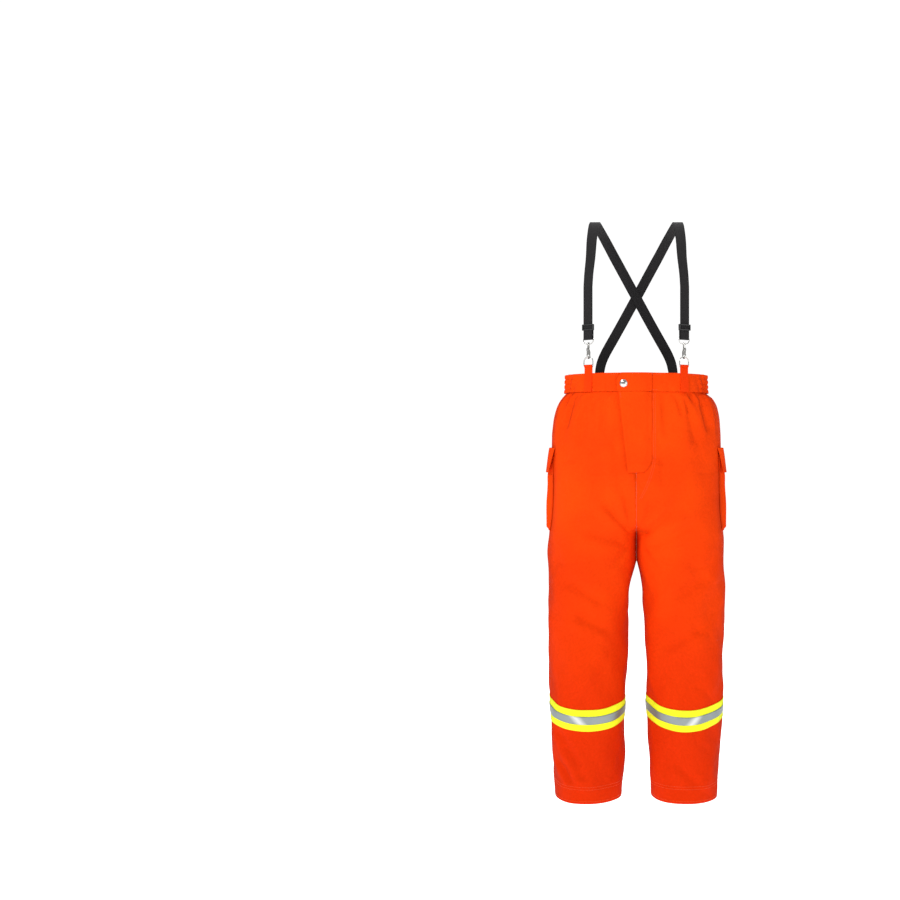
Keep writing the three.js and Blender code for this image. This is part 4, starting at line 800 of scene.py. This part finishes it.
# ---------- Side pockets ----------
# A bellows pouch on each hip with folded gussets, under a wide flap that leans out over the mouth
# and hangs straight, its lower corners slightly rounded. The pouch bellies out below the flap.
POCKET_TOP, POCKET_MOUTH, POCKET_BOTTOM = 0.173, 0.193, 0.368
FRONT_Y, BACK_Y, POCKET_FACE = -0.046, 0.090, 0.2095
FLAP_FRONT_Y, FLAP_BACK_Y, FLAP_DROP = -0.050, 0.094, 0.0580
HEADER_X, FLAP_FACE = 0.2048, 0.2130
patch_black = woven_cloth("hook_and_loop", (0.018, 0.018, 0.019), (0.010, 0.010, 0.011), 2500,
                          0.95, 0.0, 0.6, threads_on="Object")
pocket_grids = {}
for name, side in SIDES:
    drop = np.concatenate([np.linspace(POCKET_MOUTH, 0.350, 60),
                           np.linspace(0.352, POCKET_BOTTOM, 14)])[:, None]
    u = np.concatenate([np.linspace(0, 0.12, 22)[:-1], np.linspace(0.12, 0.88, 50)[:-1],
                        np.linspace(0.88, 1, 22)])[None, :]
    wander = 0.0022 * np.sin((drop - POCKET_MOUTH) * 36 + 0.4)
    y = FRONT_Y + (BACK_Y - FRONT_Y) * u + wander * np.exp(-u * 14)
    leg = side_at(y, drop, 0) + 0.0011
    rise = eased(u, 0.045, 0.105) * eased(1 - u, 0.045, 0.105)
    rise = rise * eased(POCKET_BOTTOM - drop, 0.001, 0.009)
    mouth = 0.0060 * (1 - eased(drop, POCKET_MOUTH, 0.245))
    belly = 0.0045 * eased(drop, 0.240, 0.345) * np.sin(math.pi * np.clip(u, 0, 1)) ** 0.5 - mouth
    crease = 0.0012 * np.sin(drop * 70 + y * 30) * eased(drop, 0.235, 0.26) * np.sin(math.pi * u)
    tuck = 0.0030 * np.exp(-((u - 0.085) / 0.018) ** 2) * eased(drop, 0.2, 0.23)
    x = np.maximum(leg, leg + (POCKET_FACE + belly + crease - leg) * rise - tuck * rise)
    outer = xyz(side * (x + CLOTH), y, -drop)
    inner = xyz(side * x, y, -drop)
    pouch = cloth_piece(f"pouch_{name}", outer, inner)
    given_to(pouch, orange_cloth, "outer_shell", "trousers", f"pocket_pouch_{name}")
    pocket_grids["pouch", name] = outer
    inset = outer[3:13, 28:64]
    loop = cloth_piece(f"loop_patch_{name}", inset + [side * 0.0011, 0, 0],
                       inset + [side * 0.0003, 0, 0])
    given_to(loop, patch_black, "hook_and_loop", "trousers", f"pouch_loop_patch_{name}")

    # The flap's sewn root, filling the gap between the curved hip and the fold.
    y = np.linspace(FLAP_FRONT_Y, FLAP_BACK_Y, 60)[None, :]
    t = np.linspace(0, 1, 8)[:, None]
    start = side_at(y, POCKET_TOP, 0.0007)
    hug = eased(np.abs(y - 0.022), 0.052, 0.073)
    hip = side_at(y, POCKET_TOP, 0) + 0.0012
    reach = HEADER_X - hug * np.clip(HEADER_X - hip, 0, None)
    x = start + np.clip(reach - start, 0.0001, None) * t
    top = -POCKET_TOP + CLOTH / 2
    root = cloth_piece(f"flap_root_{name}", xyz(side * x, y, top), xyz(side * x, y, top - CLOTH))
    given_to(root, orange_cloth, "outer_shell", "trousers", f"pocket_header_{name}")

    # The flap itself.
    s = np.linspace(0, 1, 40)[:, None]
    y = np.linspace(FLAP_FRONT_Y, FLAP_BACK_Y, 72)[None, :]
    from_end = np.minimum(y - FLAP_FRONT_Y, FLAP_BACK_Y - y)
    short = 0.007 * (1 - np.sqrt(1 - (1 - np.clip(from_end / 0.008, 0, 1)) ** 2))
    x = HEADER_X + 0.0003 + (FLAP_FACE - HEADER_X) * s ** 0.85 + 0 * y
    drop = (FLAP_DROP - short) * s
    wave = 0.0006 * np.sin(y * 55 + side) * eased(s, 0.3, 0.9)
    hug = eased(np.abs(y - 0.022), 0.052, 0.073)
    hip = side_at(y, POCKET_TOP + drop, 0) + 0.0012 + 0.008 * s
    x = x + wave - hug * np.clip(x - hip, 0, None) * (1 - 0.30 * s)
    z = -POCKET_TOP - drop
    outer = xyz(side * (x + CLOTH), y, z + 0.0004)
    inner = xyz(side * x, y, z)
    cover = cloth_piece(f"flap_{name}", outer, inner)
    fold = ((side * 0.2048, 0.022, -0.1730), (side * 0.2062, 0.022, -0.1850))
    given_to(cover, orange_cloth, "outer_shell", f"{name}_pocket_flap", f"pocket_flap_{name}",
             bend=fold)
    pocket_grids["flap", name] = outer
    pocket_grids["fold", name] = fold
    inset = inner[17:36, 16:56]
    hook = cloth_piece(f"hook_patch_{name}", inset - [side * 0.0003, 0, 0],
                       inset - [side * 0.0011, 0, 0])
    given_to(hook, patch_black, "hook_and_loop", f"{name}_pocket_flap", f"flap_hook_patch_{name}")


# ---------- Rings, hooks and their tabs ----------
# A cloth tab on the band holds a nickel D-ring; a snap hook with a sprung gate grips the ring and
# turns in a swivel eye that the webbing loops through.
TAB_X, TAB_Y, TAB_TURN = 0.110824, -0.090379, math.radians(31.0042)
RING_HALF = 0.0124


def along_tab(side):
    """The way across a ring tab, which follows the curve of the waist."""
    return np.array([math.cos(TAB_TURN), side * math.sin(TAB_TURN), 0])


def at_tab(side, u, n, z):
    """A point or rows of points u across the tab, n out from the waist and z up."""
    u, n, z = np.broadcast_arrays(np.asarray(u, float), n, z)
    out = np.array([side * math.sin(TAB_TURN), -math.cos(TAB_TURN), 0])
    return (np.array([side * TAB_X, TAB_Y, 0]) + u[..., None] * along_tab(side)
            + n[..., None] * out + z[..., None] * [0, 0, 1])


tab_cloth = woven_cloth("ring_tab_cloth", (0.96, 0.050, 0.002), (0.58, 0.016, 0.001), 900,
                        threads_on="Object")
for name, side in SIDES:
    # The D-ring.
    a = np.linspace(0, math.pi / 2, 9)
    right = np.stack([RING_HALF - 0.002 + 0.002 * np.sin(a), 0.0185 - 0.002 * np.cos(a)], 1)
    b = np.linspace(0, math.pi, 49)
    bow = np.stack([RING_HALF * np.cos(b), 0.026 + RING_HALF * np.sin(b)], 1)
    left = right[::-1] * [-1, 1]
    loop = np.concatenate([right, bow, left])
    ring = tube(f"ring_{name}", at_tab(side, loop[:, 0], 0, loop[:, 1]), 0.00125, 16)
    given_to(ring, nickel, "nickel", f"{name}_ring", f"d_ring_{name}")

    # The swivel eye: its bow, then the collar at the bow's foot, drawn solid.
    half = 0.0139
    b = np.linspace(math.pi, 2 * math.pi, 49)
    bow = np.stack([half * np.cos(b), 0.0765 + 0.0095 * np.sin(b)], 1)
    loop = np.concatenate([[[half - 0.0012, 0.080], [0, 0.080], [-half + 0.0012, 0.080],
                            [-half + 0.0003, 0.0796], [-half, 0.0788]], bow,
                           [[half, 0.0788], [half - 0.0003, 0.0796]]])
    eye = tube(f"eye_{name}", at_tab(side, loop[:, 0], 0, loop[:, 1]), 0.0011, 16)
    given_to(eye, nickel, "nickel", f"{name}_eye", f"hook_eye_{name}")
    collar = lathe(f"eye_collar_{name}", [(0, 0.0649), (0.0029, 0.0649), (0.0033, 0.0654),
                                          (0.0033, 0.0686), (0.0029, 0.0691), (0, 0.0691)],
                   at_tab(side, 0, 0, 0), (0, 0, 1), 40)
    given_to(collar, nickel, "nickel", f"{name}_eye")

    # The hook's turned shank, neck and bend, its gate and the gate's pin.
    refinish(f"hook_body_{name}", nickel, 0.0002)
    refinish(f"hook_gate_{name}", nickel, 0.0002)
    refinish(f"gate_pin_{name}", nickel, 0.0001)
    refinish(f"strap_adjuster_{name}", enamel, 0.0004)
    refinish(f"ring_tab_{name}", tab_cloth, 0.0003)


# ---------- Suspenders ----------
# Black elastic webbing with lengthwise ribs. Each strap loops round its eye, climbs the chest,
# folds over the shoulder, crosses the other on the back and is sewn to the band there. Its end
# is folded up behind itself to the adjuster.
webbing, tree, shader = principled("ribbed_webbing", (0.022, 0.021, 0.022), 0.88,
                                   Sheen_Weight=0.08)
shader.inputs["Specular IOR Level"].default_value = 0.2
place = put(tree, "ShaderNodeTexCoord")
split = put(tree, "ShaderNodeSeparateXYZ", [(0, place.outputs["UV"])])
ribs = put(tree, "ShaderNodeTexWave", [("Vector", place.outputs["UV"]), ("Scale", 180.0)],
           bands_direction="X")
picks = put(tree, "ShaderNodeTexWave", [("Vector", place.outputs["UV"]), ("Scale", 420.0)],
            bands_direction="Y")
surface = put(tree, "ShaderNodeMath", [(0, picks.outputs["Fac"]), (1, 0.35),
                                       (2, ribs.outputs["Fac"])], operation="MULTIPLY_ADD")
tree.links.new(bump(tree, surface.outputs[0], 0.5, 0.0004), shader.inputs["Normal"])
from_middle = put(tree, "ShaderNodeMath", [(0, split.outputs["X"])], operation="ABSOLUTE")
selvedge = ranged(tree, from_middle.outputs[0], 0.0100, 0.0118)
# Painted shade: the colour is darker in the grooves between the ribs.
painted_groove_shade = mixed(tree, ranged(tree, ribs.outputs["Fac"], 0.2, 0.9), (0.008, 0.0075, 0.008),
             (0.018, 0.0165, 0.018))
tree.links.new(mixed(tree, selvedge, painted_groove_shade, (0.005, 0.0045, 0.005)), shader.inputs["Base Color"])


def webbing_strip(name, at, across, width=0.025, thick=0.0016):
    """Flat webbing along a line of points, its face held along the given across directions, with
    rounded selvedges."""
    along = np.gradient(at, axis=0)
    along /= np.linalg.norm(along, axis=1, keepdims=True)
    flat = across - along * np.sum(across * along, axis=1, keepdims=True)
    flat /= np.linalg.norm(flat, axis=1, keepdims=True)
    face = np.cross(along, flat)
    u = np.linspace(-1, 1, 15)
    rim = np.concatenate([np.stack([u * (width / 2 - 0.0004), 0 * u + thick / 2], 1),
                          [[width / 2, 0.0]],
                          np.stack([-u * (width / 2 - 0.0004), 0 * u - thick / 2], 1),
                          [[-width / 2, 0.0]]])
    points = (at[:, None] + rim[None, :, 0, None] * flat[:, None]
              + rim[None, :, 1, None] * face[:, None])
    rows, cols = points.shape[:2]
    points = points.reshape(-1, 3)
    faces = grid_quads(rows, cols, wrap_cols=True).tolist()
    faces += [list(range(cols))[::-1], list(range(rows * cols - cols, rows * cols))]
    uv = np.stack(np.broadcast_arrays(rim[None, :, 0], run_along(at)[:, None]), axis=-1)
    uv = uv.reshape(-1, 2)
    return mesh_piece(name, points, outward(points, faces), uv)


def smooth_route(points, count):
    """A Catmull-Rom curve through the points, resampled at even steps along its length."""
    p = np.concatenate([[2 * points[0] - points[1]], points, [2 * points[-1] - points[-2]]])
    t = np.linspace(0, 1, 24, endpoint=False)[:, None]
    runs = []
    for a, b, c, d in zip(p[:-3], p[1:-2], p[2:-1], p[3:]):
        runs.append(0.5 * (2 * b + (c - a) * t + (2 * a - 5 * b + 4 * c - d) * t ** 2
                           + (3 * b - a - 3 * c + d) * t ** 3))
    fine = np.concatenate(runs + [points[-1:]])
    length = run_along(fine)
    return read_at(np.linspace(0, length[-1], count), length, fine)


LAYER_OUT = 0.0022
sewn_rise = depth_at(0.0925, 0, -1, 0.0025) - depth_at(0.0915, 0, -1, 0.0025)
sewn_turn = math.atan2(float(sewn_rise), 0.001)
for name, side in SIDES:
    along = along_tab(side)
    b = np.linspace(math.pi, 2 * math.pi, 17)
    start = [at_tab(side, 0, -LAYER_OUT, 0.087)]
    start += [at_tab(side, 0, LAYER_OUT * math.cos(k), 0.080 + LAYER_OUT * math.sin(k)) for k in b]
    start += [at_tab(side, 0, LAYER_OUT, z) for z in np.linspace(0.086, 0.200, 24)]
    chest = start[-1]
    apart = side * 0.00095
    sewn = [float(depth_at(0.092, d, 1, 0.0038)) for d in (0, 0.020, 0.040)]
    points = np.array([
        (side * chest[0], chest[1], 0.200),
        ((chest[0] * side + 0.106) / 2 + 0.001, chest[1] - 0.001, 0.230),
        (0.106, chest[1] + 0.004, 0.270), (0.104, chest[1] + 0.020, 0.312),
        (0.101, chest[1] + 0.045, 0.347), (0.099, chest[1] + 0.075, 0.364),
        (0.098, 0.010, 0.368), (0.0896, 0.040, 0.358), (0.0755, 0.072, 0.337),
        (0.056, 0.098, 0.304), (0.036, 0.110, 0.269), (0.0153, 0.112 + apart, 0.231),
        (0, 0.112 + apart, 0.203), (-0.0153, 0.112 + apart, 0.175), (-0.036, 0.111, 0.137),
        (-0.056, 0.109, 0.101), (-0.076, 0.107, 0.065), (-0.086, 0.105, 0.042),
        (-0.0905, sewn[0] + 0.001, 0.022), (-0.092, sewn[0], 0.004),
        (-0.092, sewn[1], -0.020), (-0.092, sewn[2], -0.040),
    ]) * [side, 1, 1]
    upper = smooth_route(points, 340)
    t = np.linspace(0, 1, 340)[:, None]
    straight = np.array([1.0, 0, 0])
    at_band = np.array([math.cos(sewn_turn), side * math.sin(sewn_turn), 0])
    face = along + (straight - along) * eased(t, 0, 0.3)
    face = face + (at_band - face) * eased(t, 0.75, 0.95)
    at = np.concatenate([np.array(start), upper[1:]])
    across = np.concatenate([np.tile(along, (len(start), 1)), face[1:]])
    strap = webbing_strip(f"suspender_{name}", at, across)
    given_to(strap, webbing, "webbing", "trousers", f"suspender_strap_{name}")
    tail_z = np.linspace(0.0873, 0.107, 12)
    at = np.stack([at_tab(side, 0, -LAYER_OUT, z) for z in tail_z])
    tail = webbing_strip(f"strap_end_{name}", at, np.tile(along, (12, 1)))
    tail.data.materials.append(webbing)
    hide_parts(f"strap_tail_{name}")
    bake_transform(tail)


# ---------- What stays as it was machined ----------
# The elastic, the facing and the zip's tapes keep their CAD shape and get their cloth.
elastic_cloth = woven_cloth("ribbed_elastic", (0.020, 0.020, 0.022), (0.012, 0.012, 0.013), 700,
                            threads_on="Object")
facing_cloth = woven_cloth("facing_cloth", (0.030, 0.033, 0.040), (0.020, 0.021, 0.026), 900,
                           threads_on="Object")
zip_cloth = woven_cloth("zip_tape_cloth", (0.014, 0.014, 0.015), (0.009, 0.009, 0.010), 1500,
                        threads_on="Object")
refinish("waistband_facing", facing_cloth)
for name, side in SIDES:
    refinish(f"waist_elastic_{name}", elastic_cloth)
    refinish(f"zip_tape_{name}", zip_cloth)


# ---------- Stitching ----------
# Lockstitch in matching thread: two rows on the waistband, double rows down the side seams, three
# round each hem, one inside each edge of the fly and pockets, and one along each edge of the trim.
def thread(name, color):
    """Twisted polyester thread: a fine diagonal ripple on a slightly shiny strand."""
    material, tree, shader = principled(name, color, 0.55, Sheen_Weight=0.1)
    place = put(tree, "ShaderNodeTexCoord")
    twist = put(tree, "ShaderNodeTexWave", [("Vector", place.outputs["Object"]),
                                            ("Scale", 900.0)], bands_direction="DIAGONAL")
    tree.links.new(bump(tree, twist.outputs["Fac"], 0.3, 0.0001), shader.inputs["Normal"])
    return material


def stitch_rows(name, rows, material, body, slot_name, pitch=0.0036, length=0.0026, width=0.0004,
                bend=None):
    """One mesh of separate stitches, each a small pointed capsule lying along its row. Each row
    is a line of points with the cloth's normal at each."""
    a = np.linspace(0, 2 * math.pi, 6, endpoint=False)
    rings = [np.stack([np.full(6, t), r * np.cos(a), r * np.sin(a)], 1)
             for t, r in ((-0.7, 0.8), (0.0, 1.0), (0.7, 0.8))]
    shape = np.concatenate(rings + [[[-1.0, 0, 0], [1.0, 0, 0]]]) * [length / 2, width, width * 0.8]
    quads = grid_quads(3, 6, wrap_cols=True)
    k = np.arange(6)
    ends = np.concatenate([np.stack([np.full(6, 18), (k + 1) % 6, k], 1),
                           np.stack([np.full(6, 19), 12 + k, 12 + (k + 1) % 6], 1)])
    places = []
    for points, normals in rows:
        run = run_along(points)
        at = np.arange(pitch / 2, run[-1], pitch)
        middle, up = read_at(at, run, points), read_at(at, run, normals)
        forward = read_at(at + 0.0004, run, points) - read_at(at - 0.0004, run, points)
        forward /= np.linalg.norm(forward, axis=1, keepdims=True) + 1e-12
        aside = np.cross(up, forward)
        aside /= np.linalg.norm(aside, axis=1, keepdims=True) + 1e-12
        up = np.cross(forward, aside)
        frames = np.stack([forward, aside, up], axis=1)
        places.append(middle[:, None] + np.einsum("vk,nkc->nvc", shape, frames))
    all_points = np.concatenate(places)
    count = len(all_points)
    step = (np.arange(count) * 20)[:, None, None]
    faces = (quads[None] + step).reshape(-1, 4).tolist()
    faces += (ends[None] + step).reshape(-1, 3).tolist()
    points = all_points.reshape(-1, 3)
    piece = mesh_piece(name, points, outward(points, faces))
    return given_to(piece, material, slot_name, body, bend=bend)


def row_on_cloth(side, drop, angle, offset):
    """A row of stitches on the garment, at drops and angles, with its normals."""
    drop, angle = np.broadcast_arrays(np.asarray(drop, float), np.asarray(angle, float))
    low_points = outline(side, drop, angle, offset)
    normals = outline(side, drop, angle, offset + 0.001) - low_points
    return low_points, normals / np.linalg.norm(normals, axis=1, keepdims=True)


def front_angle(x, drop):
    """The angle on the front at which the outline has this |x|."""
    middle_x, reach, depth, middle, square = half_section(drop)
    share = np.clip((x - middle_x) / reach, -1, 1)
    return -np.arccos(np.sign(share) * np.abs(share) ** (square / 2))


orange_thread = thread("orange_thread", (0.80, 0.075, 0.006))
lime_thread = thread("lime_thread", (0.70, 0.80, 0.05))
for name, side in SIDES:
    start_angle = -1.38 if side > 0 else -1.28
    around = np.linspace(start_angle, 1.54, 300)
    stitch_rows(f"band_stitches_{name}",
                [row_on_cloth(side, d, around, 0.0026) for d in (0.0040, 0.0390)],
                orange_thread, "trousers", "outer_shell")
    down = np.linspace(BAND_HEIGHT + 0.004, HEM - 0.004, 500)
    clear = (down > RISE) | (down < POCKET_TOP - 0.005)
    seams = [row_on_cloth(side, down[clear], angle, 0.0001) for angle in (0.030, 0.064)]
    full = np.linspace(0, 2 * math.pi, 300)
    hems = [row_on_cloth(side, HEM - up, full, 0.0001) for up in (0.040, 0.034, 0.006)]
    stitch_rows(f"seam_stitches_{name}", seams, orange_thread, "trousers",
                "outer_shell")
    stitch_rows(f"hem_stitches_{name}", hems, orange_thread, "trousers", "outer_shell")
    hang = TAPE_DROP + TAPE_SAG * np.clip(-np.sin(full), 0, None) ** 1.5
    stitch_rows(f"trim_stitches_{name}",
                [row_on_cloth(side, hang + d, full, 0.0012) for d in (-0.0230, 0.0230)],
                lime_thread, "trousers", "lime_trim")
    cover = pocket_grids["flap", name]
    side_out = np.array([side, 0, 0.15])
    edge = np.concatenate([cover[2:36, 3], cover[36, 3:69], cover[36:2:-1, 68]])
    stitch_rows(f"flap_stitches_{name}", [(edge, np.tile(side_out, (len(edge), 1)))],
                orange_thread, f"{name}_pocket_flap", "outer_shell",
                bend=pocket_grids["fold", name])
    pouch = pocket_grids["pouch", name]
    rows = [(pouch[2], np.tile(side_out, (pouch.shape[1], 1)))]
    rows += [(pouch[1:66, k], np.tile(side_out, (65, 1))) for k in (23, 68)]
    stitch_rows(f"pouch_stitches_{name}", rows, orange_thread, "trousers", "outer_shell")

# The fly: a J of two rows on the panel, and one row inside the flap's free edge.
down = np.linspace(BAND_HEIGHT + 0.003, 0.292, 160)
curve = 0.0390 - 0.0330 * np.clip((down - 0.195) / 0.097, 0, 1) ** 1.7
stitch_rows("fly_j_stitches",
            [row_on_cloth(1, down, front_angle(curve + more, down), 0.0002)
             for more in (0.0, 0.0045)], orange_thread, "trousers", "outer_shell")
down = np.linspace(BAND_HEIGHT + 0.003, FLY_LENGTH - 0.024, 90)
edge_x = flap_edge(down) + 0.004
edge = xyz(edge_x, depth_at(edge_x, down, -1, 0.0079), -down)
stitch_rows("fly_edge_stitches", [(edge, np.tile([0, -1.0, 0], (len(edge), 1)))],
            orange_thread, "fly", "outer_shell")
